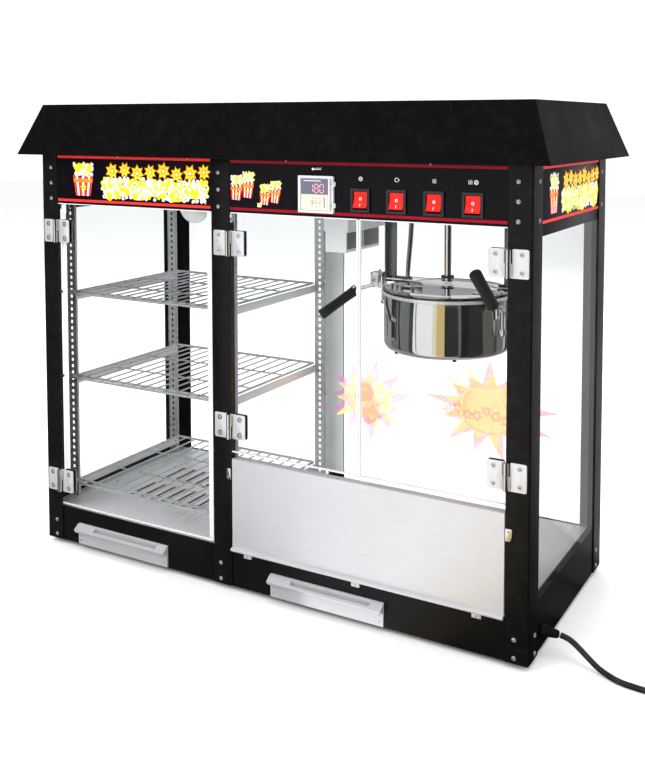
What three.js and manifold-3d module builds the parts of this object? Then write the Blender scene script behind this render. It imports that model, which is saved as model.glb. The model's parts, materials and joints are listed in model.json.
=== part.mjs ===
// Popcorn maker with a warming display: a glass cabinet in two units under one hipped roof.
// The left unit keeps filled boxes warm on wire shelves, the right unit holds the tilting kettle.
// Millimetres, +Z up, +X to the right of the person facing the doors, -Y is the front.
// The origin is on the floor under the middle of the cabinet.
import * as THREE from "three";
import { mergeVertices } from "three/addons/utils/BufferGeometryUtils.js";
import Module from "manifold-3d";

const wasm = await Module();
wasm.setup();

// ---------------------------------------------------------------- driving dimensions
const BODY_WIDTH = 900;
const BODY_DEPTH = 370;
const FOOT_HEIGHT = 8;
const BASE_HEIGHT = 62; // underside of the base to its front top edge
const WINDOW_HEIGHT = 540; // base top edge to the ceiling over the cabinet
const HEADER_HEIGHT = 87; // ceiling to the eave
const ROOF_HEIGHT = 87;
const LEFT_UNIT_WIDTH = 387.5; // left side to the middle of the middle post
const SHEET = 1.5; // folded sheet of posts, base and header
const GAP = 0.3; // between pieces that are screwed or set together

const POST_FACE = 35;
const POST_SIDE = 40;
const MIDDLE_POST_WEB = 14;
const ROOF_OVERHANG_X = 31.5;
const ROOF_OVERHANG_Y = 27.5;
const ROOF_TOP_INSET_Y = 4.5;
const ROOF_SHEET = 1.2;
const ROOF_LIP = 12;
const HEADER_INSET = 6; // header box behind the door glass
const FASCIA_HEIGHT = 83;
const FASCIA_RETURN = 3.5;
const SIDE_PANEL_RISE = 14; // side walls of the base over its front edge

const FOOT_RADIUS = 15;
const FOOT_CHAMFER = 2;
const FOOT_INSET_X = 60;
const FOOT_INSET_Y = 38;

const DECK_SHEET = 1.2;
const DECK_LEDGE = 16;
const DECK_SLOT_WIDTH = 6;
const DECK_SLOT_LENGTH = 70;
const DECK_SLOT_PITCH = 24;

const GLASS = 4;
const DOOR_GLASS = 5;
const DOOR_EDGE_GAP = 1.3;
const DOOR_MEETING_GAP = 1.5;
const DOOR_TOP_LAP = 2; // door glass above the ceiling line
const LEFT_DOOR_SILL = 4.5; // door bottom above the base edge
const FLAP_HEIGHT = 147;
const FLAP_SHEET = 1.5;
const FLAP_HEM = 14;
const FLAP_RAIL_RADIUS = 2.8;
const FLAP_DOOR_GAP = 11;

const HINGE_HEIGHT = 40;
const HINGE_LEAF = 29;
const HINGE_SHEET = 1.7;
const HINGE_BARREL_RADIUS = 4;
const HINGE_BORE_RADIUS = 2.3;
const HINGE_PIN_RADIUS = 1.9;
const HINGE_AXIS_IN = 1.5; // knuckle axis inside the post's edge
const HINGE_NOTCH = 5; // leaf cut back beside the other leaf's knuckle
const HINGE_TOP_INSET = 49;
const HINGE_LOW_INSET = 42;

const DRAWER_WIDTH = 198;
const DRAWER_SHEET = 1.2;
const DRAWER_FRONT_LOW = 2; // front plate above the underside of the base
const DRAWER_FRONT_TOP = 38;
const DRAWER_TRAY_LOW = 4;
const DRAWER_TRAY_TOP = 33;
const DRAWER_BACK_SPACE = 40;
const DRAWER_GRIP_WALL = 2;
const RUNNER_INSET = 12; // drawer side to the middle of its runner
const RUNNER_WIDTH = 8;
const LEFT_DRAWER_OFFSET = 40; // from the left post to the drawer
const RIGHT_DRAWER_OFFSET = 75; // from the middle post to the drawer

const SHELF_HEIGHTS = [34, 226, 379]; // above the base edge
const SHELF_ROD_RADIUS = 2.2;
const SHELF_WIRE_RADIUS = 1.4;
const SHELF_WIRES = 13;
const SHELF_FRONT_SPACE = 28;
const UPRIGHT_WIDTH = 21;
const UPRIGHT_SHEET = 1.5;
const UPRIGHT_WALL_SPACE = 9;
const UPRIGHT_FRONT_SPACE = 46;
const UPRIGHT_BACK_SPACE = 18;
const RAIL_HEIGHT = 14;
const RAIL_SHEET = 3;

const KETTLE_OFFSET = 54; // kettle centre right of the middle of its unit
const KETTLE_DROP = 113; // ceiling to the tilt axis
const KETTLE_RADIUS = 102;
const KETTLE_DEPTH = 94;
const KETTLE_WALL = 1.6;
const KETTLE_FLOOR_RISE = 18; // pot floor over the lower edge
const KETTLE_BAND_HEIGHT = 6;
const KETTLE_BAND_PROUD = 1.4;
const LID_SHEET = 1.2;
const LID_TOP_DROP = 8.3; // lid's upper face under the tilt axis
const LID_BRIDGE = 14; // half width of the fixed strip between the lids
const LID_HOLE_RADIUS = 11.4;
const BAR_WIDTH = 11;
const BAR_HEIGHT = 9.6;
const BAR_BOSS_RADIUS = 10;
const HANGER_FACE = 17;
const HANGER_FLANGE = 12;
const HANGER_SHEET = 2;
const HANGER_OVERHANG = 8; // hanger outer edge outside the pot
const PIVOT_RADIUS = 4;
const PIVOT_CLEARANCE = 0.4;
const PIVOT_END = 3; // pin past the ear
const HANGER_TAB = 10; // ceiling tab outside the hanger
const HANGER_TAB_FRONT = 16;
const EAR_SHEET = 3;
const EAR_WIDTH = 20;
const EAR_FOOT_DROP = 36;
const EAR_FOOT_HEIGHT = 6;
const SHAFT_RADIUS = 5.6;
const SHAFT_CLEARANCE = 0.6;
const SHAFT_DOG_RADIUS = 5;
const SHAFT_DOG_DROP = 11; // under the tilt axis
const COLLAR_RADIUS = 10.5;
const COLLAR_HEIGHT = 7;
const AGITATOR_TOP_DROP = 12.6;
const AGITATOR_RADIUS = 84;
const AGITATOR_SHAFT_RADIUS = 4;
const MOTOR_RADIUS = 34;
const MOTOR_HEIGHT = 64;
const MOTOR_SOCKET_DEPTH = 16;

const TERMINAL_ANGLE = 150; // degrees round the pot from +X
const TERMINAL_SIZE = 24;
const TERMINAL_TOP_DROP = 36;
const CONDUIT_RADIUS = 4.5;
const CONDUIT_SIDES = 8;
const CONDUIT_STEPS = 14;
const CONDUIT_CLEARANCE = 1;
const CONDUIT_TAIL = 6; // end inside the header box
const CONDUIT_ENTRY_SHIFT = 10; // header hole to the left of the line to the terminal box
const CONDUIT_ENTRY_REACH = 0.83; // of the pot's radius

const LEFT_GRIP_RADIUS = 9;
const RIGHT_GRIP_RADIUS = 10;
const LEVER_RADIUS = 3.5;
const BRACKET_TURN = -18; // degrees round the pot from +X
const BRACKET_SHEET = 4;
const BRACKET_WIDTH = 20;
const BRACKET_TOP = -16; // from the tilt axis
const BRACKET_LOW = -44;
const STAY_RADIUS = 2.5;
const STAY_LOW = -62;

const CONTROLLER_WIDTH = 61;
const CONTROLLER_HEIGHT = 56;
const CONTROLLER_X = 160; // from the middle post's edge to the controller's middle
const CONTROLLER_Z = 36; // over the ceiling
const CONTROLLER_BEZEL = 5;
const CONTROLLER_BODY_DEPTH = 45;
const CONTROLLER_RIM = 3;
const ROCKER_COUNT = 4;
const ROCKER_WIDTH = 22;
const ROCKER_HEIGHT = 24;
const ROCKER_PITCH = 58.4;
const ROCKER_FIRST_X = 234; // from the middle post's edge
const ROCKER_Z = 29.5; // over the ceiling
const ROCKER_TILT = 8; // degrees each way
const ROCKER_PIVOT_DEPTH = 4; // behind the posts' front
const ROCKER_PROUD = 7; // its ends in front of the pivot
const ROCKER_DISH = 2.4;
const ROCKER_DEPTH = 6; // behind the pivot
const ROCKER_SIDE_CLEARANCE = 0.7;
const ROCKER_END_CLEARANCE = 1.5;
const SWITCH_RIM = 4;
const SWITCH_RIM_PROUD = 2.2;

const SHOW_LAMP_RADIUS = 28;
const SHOW_LAMP_HEIGHT = 42;
const SHOW_LAMP_RIM = 3;
const LAMP_BOX_WIDTH = 39;
const LAMP_BOX_DEPTH = 116;
const LAMP_BOX_HEIGHT = 68;
const LAMP_BOX_FLANGE = 34;
const LAMP_FLANGE_SIDE = 3;
const LAMP_FLANGE_BACK = 18;
const LAMP_BOX_OFFSET = -173; // from the kettle's centre
const LAMP_SHEET = 1.5;
const BULB_RADIUS = 10;
const BULB_NECK_RADIUS = 6;
const BULB_LENGTH = 38;

const GLAND_Y = 60; // from the front face
const GLAND_Z = 26; // over the underside of the base
const GLAND_LENGTH = 24;
const GLAND_RADIUS = 10;
const CORD_DIAMETER = 8;
const CORD_SIDES = 10;
const CORD_STEPS = 20;
const COIL_MID_RADIUS = 48;
const COIL_LAYERS = 2;
const PLUG_LENGTH = 44;

// ---------------------------------------------------------------- derived places
const LEFT = -BODY_WIDTH / 2;
const RIGHT = BODY_WIDTH / 2;
const FRONT = -BODY_DEPTH / 2;
const BACK = BODY_DEPTH / 2;
const MIDDLE = LEFT + LEFT_UNIT_WIDTH;
const BASE_LOW = FOOT_HEIGHT;
const BASE_TOP = BASE_LOW + BASE_HEIGHT;
const CEILING = BASE_TOP + WINDOW_HEIGHT;
const EAVE = CEILING + HEADER_HEIGHT;
const ROOF_TOP = EAVE + ROOF_HEIGHT;
const FASCIA_LOW = EAVE - FASCIA_HEIGHT;
const SKIN = SHEET + GAP; // panels lie this far inside the posts' outer faces
const DOOR_TOP = CEILING + DOOR_TOP_LAP;
const LEFT_DOOR_LOW = BASE_TOP + LEFT_DOOR_SILL;
const FLAP_LOW = BASE_TOP + 2;
const FLAP_TOP = FLAP_LOW + FLAP_HEIGHT - 2;
const RIGHT_DOOR_LOW = FLAP_TOP + FLAP_DOOR_GAP;
const HINGE_AXIS_Y = FRONT - HINGE_BARREL_RADIUS - 2 * GAP;
const LEFT_INNER = LEFT + POST_FACE;
const RIGHT_INNER = RIGHT - POST_FACE;
const MIDDLE_LEFT = MIDDLE - POST_FACE / 2;
const MIDDLE_RIGHT = MIDDLE + POST_FACE / 2;
const DECK_Z = BASE_TOP - SHEET - GAP - DECK_SHEET;
const KETTLE_X = (MIDDLE + RIGHT) / 2 + KETTLE_OFFSET;
const AXIS_Z = CEILING - KETTLE_DROP;

// ---------------------------------------------------------------- solids
// A closed three.js geometry as a manifold solid with its faces pointing out.
function solid(geometry) {
  const bare = new THREE.BufferGeometry();
  bare.setAttribute("position", geometry.getAttribute("position"));
  bare.setIndex(geometry.index);
  const merged = mergeVertices(bare, 1e-4);
  const triVerts = new Uint32Array(merged.index.array);
  const vertProperties = new Float32Array(merged.getAttribute("position").array);
  const made = new wasm.Manifold(new wasm.Mesh({ numProp: 3, vertProperties, triVerts }));
  if (made.volume() > 0) return made;
  return new wasm.Manifold(
    new wasm.Mesh({ numProp: 3, vertProperties, triVerts: triVerts.reverse() }),
  );
}

function union(pieces) {
  return pieces.reduce((sum, piece) => sum.add(piece));
}

function box(x0, x1, y0, y1, z0, z1) {
  const geometry = new THREE.BoxGeometry(x1 - x0, y1 - y0, z1 - z0);
  return solid(geometry.translate((x0 + x1) / 2, (y0 + y1) / 2, (z0 + z1) / 2));
}

// A round bar between two points.
function rod(from, to, radius, sides = 16) {
  const start = new THREE.Vector3(...from);
  const end = new THREE.Vector3(...to);
  const span = end.clone().sub(start);
  const geometry = new THREE.CylinderGeometry(radius, radius, span.length(), sides);
  const turn = new THREE.Quaternion().setFromUnitVectors(
    new THREE.Vector3(0, 1, 0),
    span.clone().normalize(),
  );
  geometry.applyQuaternion(turn);
  const middle = start.add(end).multiplyScalar(0.5);
  return solid(geometry.translate(middle.x, middle.y, middle.z));
}

// A profile of [radius, z] points turned round the Z axis.
function turned(profile, segments = 48) {
  const points = profile.map(([r, z]) => new THREE.Vector2(r, z));
  return solid(new THREE.LatheGeometry(points, segments).rotateX(Math.PI / 2));
}

// An outline of [y, z] points drawn out along X.
function prismX(outline, x0, x1) {
  const shape = new THREE.Shape(outline.map(([y, z]) => new THREE.Vector2(y, z)));
  const geometry = new THREE.ExtrudeGeometry(shape, { depth: x1 - x0, bevelEnabled: false });
  geometry.applyMatrix4(
    new THREE.Matrix4().set(0, 0, 1, x0, 1, 0, 0, 0, 0, 1, 0, 0, 0, 0, 0, 1),
  );
  return solid(geometry);
}

// A shape in the XY plane drawn out along Z.
function prismZ(shape, z0, z1, curveSegments = 24) {
  const depth = z1 - z0;
  const geometry = new THREE.ExtrudeGeometry(shape, { depth, bevelEnabled: false, curveSegments });
  return solid(geometry.translate(0, 0, z0));
}

// A box with its top face scaled about its middle.
function frustum(width, depth, topWidth, topDepth, z0, z1) {
  const geometry = new THREE.BoxGeometry(width, depth, z1 - z0);
  const position = geometry.getAttribute("position");
  for (let i = 0; i < position.count; i++) {
    if (position.getZ(i) > 0) {
      position.setX(i, (Math.sign(position.getX(i)) * topWidth) / 2);
      position.setY(i, (Math.sign(position.getY(i)) * topDepth) / 2);
    }
  }
  return solid(geometry.translate(0, 0, (z0 + z1) / 2));
}

function mirrorX(made) {
  return made.mirror([1, 0, 0]);
}

function mirrorY(made) {
  return made.mirror([0, 1, 0]);
}

// ---------------------------------------------------------------- materials and meshes
const finish = (color, roughness, metalness, extra = {}) =>
  new THREE.MeshStandardMaterial({ color, roughness, metalness, ...extra });

const MATERIALS = {
  black_paint: finish(0x0b0b0c, 0.45, 0.3),
  fascia: finish(0x0a090d, 0.3, 0.1),
  glass: finish(0xdfeaea, 0.05, 0, { transparent: true, opacity: 0.25 }),
  stainless: finish(0xc9c8cb, 0.35, 0.9),
  polished: finish(0xdad8d4, 0.08, 1),
  zinc: finish(0xa9a9ad, 0.35, 0.8),
  white_paint: finish(0xe9e9ea, 0.4, 0.1),
  lamp_glass: finish(0xf4f1e8, 0.3, 0),
  black_plastic: finish(0x101012, 0.5, 0),
  red_plastic: finish(0xd81405, 0.3, 0),
  grey_plastic: finish(0xb9bcae, 0.5, 0),
  rubber: finish(0x111111, 0.8, 0),
};

const model = new THREE.Group();

function place(name, made, material, parent = model) {
  const data = made.getMesh();
  const geometry = new THREE.BufferGeometry();
  geometry.setAttribute("position", new THREE.BufferAttribute(data.vertProperties, 3));
  geometry.setIndex(new THREE.BufferAttribute(data.triVerts, 1));
  geometry.computeVertexNormals();
  const mesh = new THREE.Mesh(geometry, MATERIALS[material]);
  mesh.name = name;
  parent.add(mesh);
}

function groupAt(x, y, z) {
  const group = new THREE.Group();
  group.position.set(x, y, z);
  model.add(group);
  return group;
}

// ---------------------------------------------------------------- base
const DRAWERS = {
  left: LEFT_INNER + LEFT_DRAWER_OFFSET + DRAWER_WIDTH / 2,
  right: MIDDLE_RIGHT + RIGHT_DRAWER_OFFSET + DRAWER_WIDTH / 2,
};

function drawerRunners(x) {
  return [-1, 1].map((side) => {
    const middle = x + side * (DRAWER_WIDTH / 2 - RUNNER_INSET);
    return box(
      middle - RUNNER_WIDTH / 2,
      middle + RUNNER_WIDTH / 2,
      FRONT + SKIN,
      BACK - SKIN - SHEET,
      BASE_LOW + SHEET - 0.1,
      BASE_LOW + DRAWER_TRAY_LOW - GAP,
    );
  });
}

function baseHousing() {
  const [x0, x1, y0, y1] = [LEFT + SKIN, RIGHT - SKIN, FRONT + SKIN, BACK - SKIN];
  const [ix0, ix1, iy0, iy1] = [x0 + SHEET, x1 - SHEET, y0 + SHEET, y1 - SHEET];
  const deckLow = BASE_TOP - SHEET - 2 * GAP - DECK_SHEET - SHEET;
  const shell = box(x0, x1, y0, y1, BASE_LOW, BASE_TOP + SIDE_PANEL_RISE);
  const notch = (from, to) => box(ix0, ix1, from, to, BASE_TOP, BASE_TOP + 2 * SIDE_PANEL_RISE);
  const inside = box(ix0, ix1, iy0, iy1, BASE_LOW + SHEET, BASE_TOP + 2 * SIDE_PANEL_RISE);
  let made = shell.subtract(inside);
  made = made.subtract(notch(y0 - 1, iy0 + 1)).subtract(notch(iy1 - 1, y1 + 1));
  const ledges = box(ix0 - 0.2, ix1 + 0.2, iy0 - 0.2, iy1 + 0.2, deckLow, deckLow + SHEET);
  const wells = [
    [ix0 + DECK_LEDGE, MIDDLE - DECK_LEDGE],
    [MIDDLE + DECK_LEDGE, ix1 - DECK_LEDGE],
  ].map(([from, to]) =>
    box(from, to, iy0 + DECK_LEDGE, iy1 - DECK_LEDGE, deckLow - 1, deckLow + SHEET + 1),
  );
  made = made.add(ledges.subtract(union(wells)));
  for (const x of Object.values(DRAWERS)) {
    made = made.add(union(drawerRunners(x)));
    const half = DRAWER_WIDTH / 2 - DRAWER_GRIP_WALL + GAP;
    made = made.subtract(
      box(
        x - half,
        x + half,
        y0 - 1,
        y0 + SHEET + 0.5,
        BASE_LOW + DRAWER_TRAY_LOW - GAP,
        BASE_LOW + DRAWER_TRAY_TOP + 2 * GAP,
      ),
    );
  }
  const hole = rod([x1 - 5, FRONT + GLAND_Y, BASE_LOW + GLAND_Z],
    [x1 + 5, FRONT + GLAND_Y, BASE_LOW + GLAND_Z], CORD_DIAMETER, 24);
  return made.subtract(hole);
}

function foot() {
  const waist = FOOT_RADIUS - FOOT_CHAMFER;
  const top = FOOT_HEIGHT - GAP;
  const profile = [
    [0, 0],
    [waist, 0],
    [FOOT_RADIUS, FOOT_CHAMFER],
    [FOOT_RADIUS, top - FOOT_CHAMFER],
    [waist, top],
    [0, top],
  ];
  return turned(profile, 32);
}

// One floor plate of a unit, with the crumb slots over its drawer.
function deckPlate(x0, x1, drawerX) {
  const [y0, y1] = [FRONT + SKIN + SHEET + GAP, BACK - SKIN - SHEET - GAP];
  let made = box(x0, x1, y0, y1, DECK_Z, DECK_Z + DECK_SHEET);
  const count = Math.floor((DRAWER_WIDTH - 2 * DECK_SLOT_PITCH) / DECK_SLOT_PITCH) + 1;
  for (let row = -1; row <= 1; row += 2) {
    for (let i = 0; i < count; i++) {
      const x = drawerX + (i - (count - 1) / 2) * DECK_SLOT_PITCH;
      const y = row * 0.65 * DECK_SLOT_LENGTH;
      made = made.subtract(
        box(
          x - DECK_SLOT_WIDTH / 2,
          x + DECK_SLOT_WIDTH / 2,
          y - DECK_SLOT_LENGTH / 2,
          y + DECK_SLOT_LENGTH / 2,
          DECK_Z - 1,
          DECK_Z + DECK_SHEET + 1,
        ),
      );
    }
  }
  return made;
}

place("base_housing", baseHousing(), "black_paint");
for (const [side, x] of [["left", LEFT + FOOT_INSET_X], ["right", RIGHT - FOOT_INSET_X]]) {
  for (const [end, y] of [["front", FRONT + FOOT_INSET_Y], ["rear", BACK - FOOT_INSET_Y]]) {
    place(`foot_${end}_${side}`, foot(), "rubber", groupAt(x, y, 0));
  }
}
const DECK_EDGE = SKIN + SHEET + GAP;
const DECK_INNER = GLASS / 2 + 1; // plates stop beside the partition
const leftPlate = deckPlate(LEFT + DECK_EDGE, MIDDLE - DECK_INNER, DRAWERS.left);
const rightPlate = deckPlate(MIDDLE + DECK_INNER, RIGHT - DECK_EDGE, DRAWERS.right);
place("floor_plate_left", leftPlate, "zinc");
place("floor_plate_right", rightPlate, "stainless");

// ---------------------------------------------------------------- hinges
const HINGE_LEVELS = {
  left: [LEFT_DOOR_LOW + HINGE_LOW_INSET, DOOR_TOP - HINGE_TOP_INSET],
  centre: [RIGHT_DOOR_LOW + HINGE_LOW_INSET, DOOR_TOP - HINGE_TOP_INSET],
  right: [RIGHT_DOOR_LOW + HINGE_LOW_INSET, DOOR_TOP - HINGE_TOP_INSET],
};

// The fixed leaf lies to -X of the knuckle axis, which is at x = y = 0; z = 0 is mid height.
function fixedLeaf() {
  const back = -HINGE_AXIS_Y + FRONT;
  const front = back - HINGE_SHEET;
  const half = HINGE_HEIGHT / 2;
  return union([
    box(-HINGE_LEAF, -HINGE_NOTCH, front, back + 0.5, -half, half),
    box(-HINGE_NOTCH - 1, 0, front, back, -half, -GAP / 2),
    rod([0, 0, -half], [0, 0, -GAP / 2], HINGE_BARREL_RADIUS, 20),
    rod([0, 0, -1], [0, 0, half - 2], HINGE_PIN_RADIUS, 16),
  ]);
}

// The moving leaf lies to +X of the same axis and carries the upper knuckle.
function movingLeaf() {
  const back = -HINGE_AXIS_Y + FRONT - GAP / 3;
  const front = back - HINGE_SHEET;
  const half = HINGE_HEIGHT / 2;
  const made = union([
    box(HINGE_NOTCH, HINGE_LEAF, front, back, -half, half),
    box(0, HINGE_NOTCH + 1, front, back, GAP / 2, half),
    rod([0, 0, GAP / 2], [0, 0, half], HINGE_BARREL_RADIUS, 20),
  ]);
  return made.subtract(rod([0, 0, -1], [0, 0, half - 1.2], HINGE_BORE_RADIUS, 16));
}

// ---------------------------------------------------------------- posts
const POST_TOP = EAVE - GAP;

function cornerPost() {
  return union([
    box(LEFT, LEFT_INNER, FRONT, FRONT + SHEET, BASE_LOW, POST_TOP),
    box(LEFT, LEFT + SHEET, FRONT, FRONT + POST_SIDE, BASE_LOW, POST_TOP),
  ]);
}

function middlePost() {
  const webLow = BASE_TOP + SIDE_PANEL_RISE;
  const webTop = CEILING - SIDE_PANEL_RISE;
  const web = (x) => box(x, x + SHEET, FRONT + 0.5, FRONT + MIDDLE_POST_WEB, webLow, webTop);
  return union([
    box(MIDDLE_LEFT, MIDDLE_RIGHT, FRONT, FRONT + SHEET, BASE_LOW, POST_TOP),
    web(MIDDLE_LEFT + SHEET),
    web(MIDDLE_RIGHT - 2 * SHEET),
  ]);
}

function withHinges(post, axisX, levels, turnedOver) {
  const leaves = levels.map((z) => {
    const leaf = turnedOver ? mirrorX(fixedLeaf()) : fixedLeaf();
    return leaf.translate([axisX, HINGE_AXIS_Y, z]);
  });
  return union([post, ...leaves]);
}

const HINGE_X = {
  left: LEFT_INNER - HINGE_AXIS_IN,
  centre: MIDDLE_RIGHT - HINGE_AXIS_IN,
  right: RIGHT_INNER + HINGE_AXIS_IN,
};

const FRONT_POSTS = {
  left: withHinges(cornerPost(), HINGE_X.left, HINGE_LEVELS.left, false),
  middle: withHinges(middlePost(), HINGE_X.centre, HINGE_LEVELS.centre, false),
  right: withHinges(mirrorX(cornerPost()), HINGE_X.right, HINGE_LEVELS.right, true),
};
for (const [side, made] of Object.entries(FRONT_POSTS)) {
  place(`post_front_${side}`, made, "black_paint");
}
place("post_rear_left", mirrorY(cornerPost()), "black_paint");
place("post_rear_middle", mirrorY(middlePost()), "black_paint");
place("post_rear_right", mirrorY(mirrorX(cornerPost())), "black_paint");

// ---------------------------------------------------------------- header and roof
const SHAFT_HOLE_RADIUS = SHAFT_RADIUS + SHAFT_CLEARANCE;
const TERMINAL_TURN = THREE.MathUtils.degToRad(TERMINAL_ANGLE);
const TERMINAL_REACH = KETTLE_RADIUS + TERMINAL_SIZE / 2;
const CONDUIT_ENTRY = [
  KETTLE_X + CONDUIT_ENTRY_REACH * KETTLE_RADIUS * Math.cos(TERMINAL_TURN) - CONDUIT_ENTRY_SHIFT,
  CONDUIT_ENTRY_REACH * KETTLE_RADIUS * Math.sin(TERMINAL_TURN),
];

function headerHousing() {
  const [x0, x1] = [LEFT + SKIN, RIGHT - SKIN];
  const [y0, y1] = [FRONT + HEADER_INSET, BACK - HEADER_INSET];
  const top = ROOF_TOP - ROOF_SHEET - GAP;
  let made = box(x0, x1, y0, y1, CEILING, top);
  made = made.subtract(
    box(x0 + SHEET, x1 - SHEET, y0 + SHEET, y1 - SHEET, CEILING + SHEET, top + 1),
  );
  const windows = [
    [LEFT_INNER + POST_FACE, MIDDLE_LEFT - POST_FACE],
    [MIDDLE_RIGHT + POST_FACE, RIGHT_INNER - POST_FACE / 2],
  ];
  for (const [from, to] of windows) {
    made = made.subtract(box(from, to, y0 - 1, y0 + SHEET + 1, FASCIA_LOW + 1, EAVE - 8));
  }
  const drill = (x, y, r) => rod([x, y, CEILING - 2], [x, y, CEILING + 2 + SHEET], r, 24);
  made = made.subtract(drill(KETTLE_X, 0, SHAFT_HOLE_RADIUS));
  const [conduitX, conduitY] = CONDUIT_ENTRY;
  return made.subtract(drill(conduitX, conduitY, CONDUIT_RADIUS + CONDUIT_CLEARANCE));
}

// A flat front panel between two posts, folded back along its top and bottom edges.
function fascia(x0, x1) {
  const y0 = FRONT + GAP;
  const y1 = y0 + SHEET;
  const flange = (z) => box(x0, x1, y0 + 0.5, y1 + FASCIA_RETURN, z, z + SHEET);
  const panel = box(x0, x1, y0, y1, FASCIA_LOW, EAVE - GAP);
  return union([panel, flange(FASCIA_LOW), flange(EAVE - GAP - SHEET)]);
}

const CONTROLLER_CENTRE = [MIDDLE_RIGHT + CONTROLLER_X, CEILING + CONTROLLER_Z];
const ROCKER_CENTRES = Array.from({ length: ROCKER_COUNT }, (_, i) => [
  MIDDLE_RIGHT + ROCKER_FIRST_X + i * ROCKER_PITCH,
  CEILING + ROCKER_Z,
]);

function controlPanel() {
  const [y0, y1] = [FRONT + GAP, FRONT + GAP + SHEET];
  let made = fascia(MIDDLE_RIGHT + GAP, RIGHT_INNER - GAP);
  const halfWidth = ROCKER_WIDTH / 2 + ROCKER_SIDE_CLEARANCE;
  const halfHeight = ROCKER_HEIGHT / 2 + ROCKER_END_CLEARANCE;
  for (const [x, z] of ROCKER_CENTRES) {
    const rim = box(
      x - halfWidth - SWITCH_RIM,
      x + halfWidth + SWITCH_RIM,
      y0 - SWITCH_RIM_PROUD,
      y0 + 0.5,
      z - halfHeight - SWITCH_RIM,
      z + halfHeight + SWITCH_RIM,
    );
    const hole = box(x - halfWidth, x + halfWidth, y0 - 5, y1 + 1, z - halfHeight, z + halfHeight);
    made = made.add(rim).subtract(hole);
  }
  const [cx, cz] = CONTROLLER_CENTRE;
  const [hx, hz] = [CONTROLLER_WIDTH / 2 - CONTROLLER_RIM, CONTROLLER_HEIGHT / 2 - CONTROLLER_RIM];
  return made.subtract(box(cx - hx, cx + hx, y0 - 1, y1 + 1, cz - hz, cz + hz));
}

// Controller: bezel in front of the panel, body through the panel's cut-out.
function temperatureController() {
  const [hx, hz] = [CONTROLLER_WIDTH / 2, CONTROLLER_HEIGHT / 2];
  const [bx, bz] = [hx - CONTROLLER_RIM - GAP, hz - CONTROLLER_RIM - GAP];
  return union([
    box(-hx, hx, FRONT - CONTROLLER_BEZEL, FRONT, -hz, hz),
    box(-bx, bx, FRONT - 0.5, FRONT + CONTROLLER_BODY_DEPTH, -bz, bz),
  ]);
}

// A rocker about its pivot at y = z = 0, standing in its off position with its top pressed in.
function rocker() {
  const half = ROCKER_HEIGHT / 2;
  const outline = [
    [-ROCKER_PROUD, half],
    [-ROCKER_PROUD + ROCKER_DISH, 0],
    [-ROCKER_PROUD, -half],
    [ROCKER_DEPTH, -half + 3],
    [ROCKER_DEPTH, half - 3],
  ];
  const geometry = prismX(outline, -ROCKER_WIDTH / 2, ROCKER_WIDTH / 2);
  return geometry.rotate([-ROCKER_TILT, 0, 0]);
}

function roof() {
  const width = BODY_WIDTH + 2 * ROOF_OVERHANG_X;
  const depth = BODY_DEPTH + 2 * ROOF_OVERHANG_Y;
  const topDepth = BODY_DEPTH - 2 * ROOF_TOP_INSET_Y;
  const t = 2 * ROOF_SHEET;
  const outer = frustum(width, depth, BODY_WIDTH, topDepth, EAVE, ROOF_TOP);
  const hollowTop = ROOF_TOP - ROOF_SHEET;
  const inner = frustum(
    width - t,
    depth - t,
    BODY_WIDTH - t,
    topDepth - t,
    EAVE - 0.01,
    hollowTop,
  );
  const slab = (inset, z0, z1) => {
    const [hx, hy] = [width / 2 - inset, depth / 2 - inset];
    return box(-hx, hx, -hy, hy, z0, z1);
  };
  const lip = slab(1, EAVE, EAVE + ROOF_SHEET).subtract(slab(ROOF_LIP, EAVE - 1, EAVE + 5));
  return outer.subtract(inner).add(lip);
}

place("header_housing", headerHousing(), "black_paint");
place("fascia_left", fascia(LEFT_INNER + GAP, MIDDLE_LEFT - GAP), "fascia");
place("control_panel", controlPanel(), "fascia");
place(
  "temperature_controller",
  temperatureController(),
  "grey_plastic",
  groupAt(CONTROLLER_CENTRE[0], 0, CONTROLLER_CENTRE[1]),
);
ROCKER_CENTRES.forEach(([x, z], i) => {
  place(`rocker_${i + 1}`, rocker(), "red_plastic", groupAt(x, FRONT + ROCKER_PIVOT_DEPTH, z));
});
place("roof", roof(), "black_paint");

// ---------------------------------------------------------------- glass panes
const PANE_LOW = BASE_TOP + GAP;
const PANE_TOP = CEILING - GAP;
const SIDE_PANE_LOW = BASE_TOP + SIDE_PANEL_RISE + GAP;

function sidePane(x0) {
  const inset = POST_SIDE - 5;
  return box(x0, x0 + GLASS, FRONT + inset, BACK - inset, SIDE_PANE_LOW, PANE_TOP);
}

place("side_glass_left", sidePane(LEFT + SKIN), "glass");
place("side_glass_right", sidePane(RIGHT - SKIN - GLASS), "glass");
const BACK_PANE_BACK = BACK - SKIN - MIDDLE_POST_WEB;
place(
  "back_glass",
  box(
    LEFT + DECK_EDGE, RIGHT - DECK_EDGE,
    BACK_PANE_BACK - GLASS, BACK_PANE_BACK, PANE_LOW, PANE_TOP),
  "glass",
);
const PARTITION_BACK = BACK_PANE_BACK - GLASS - GAP;
const PARTITION_FRONT = FRONT + MIDDLE_POST_WEB + GAP;
place(
  "partition_glass",
  box(MIDDLE - GLASS / 2, MIDDLE + GLASS / 2, PARTITION_FRONT, PARTITION_BACK, PANE_LOW, PANE_TOP),
  "glass",
);

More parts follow.
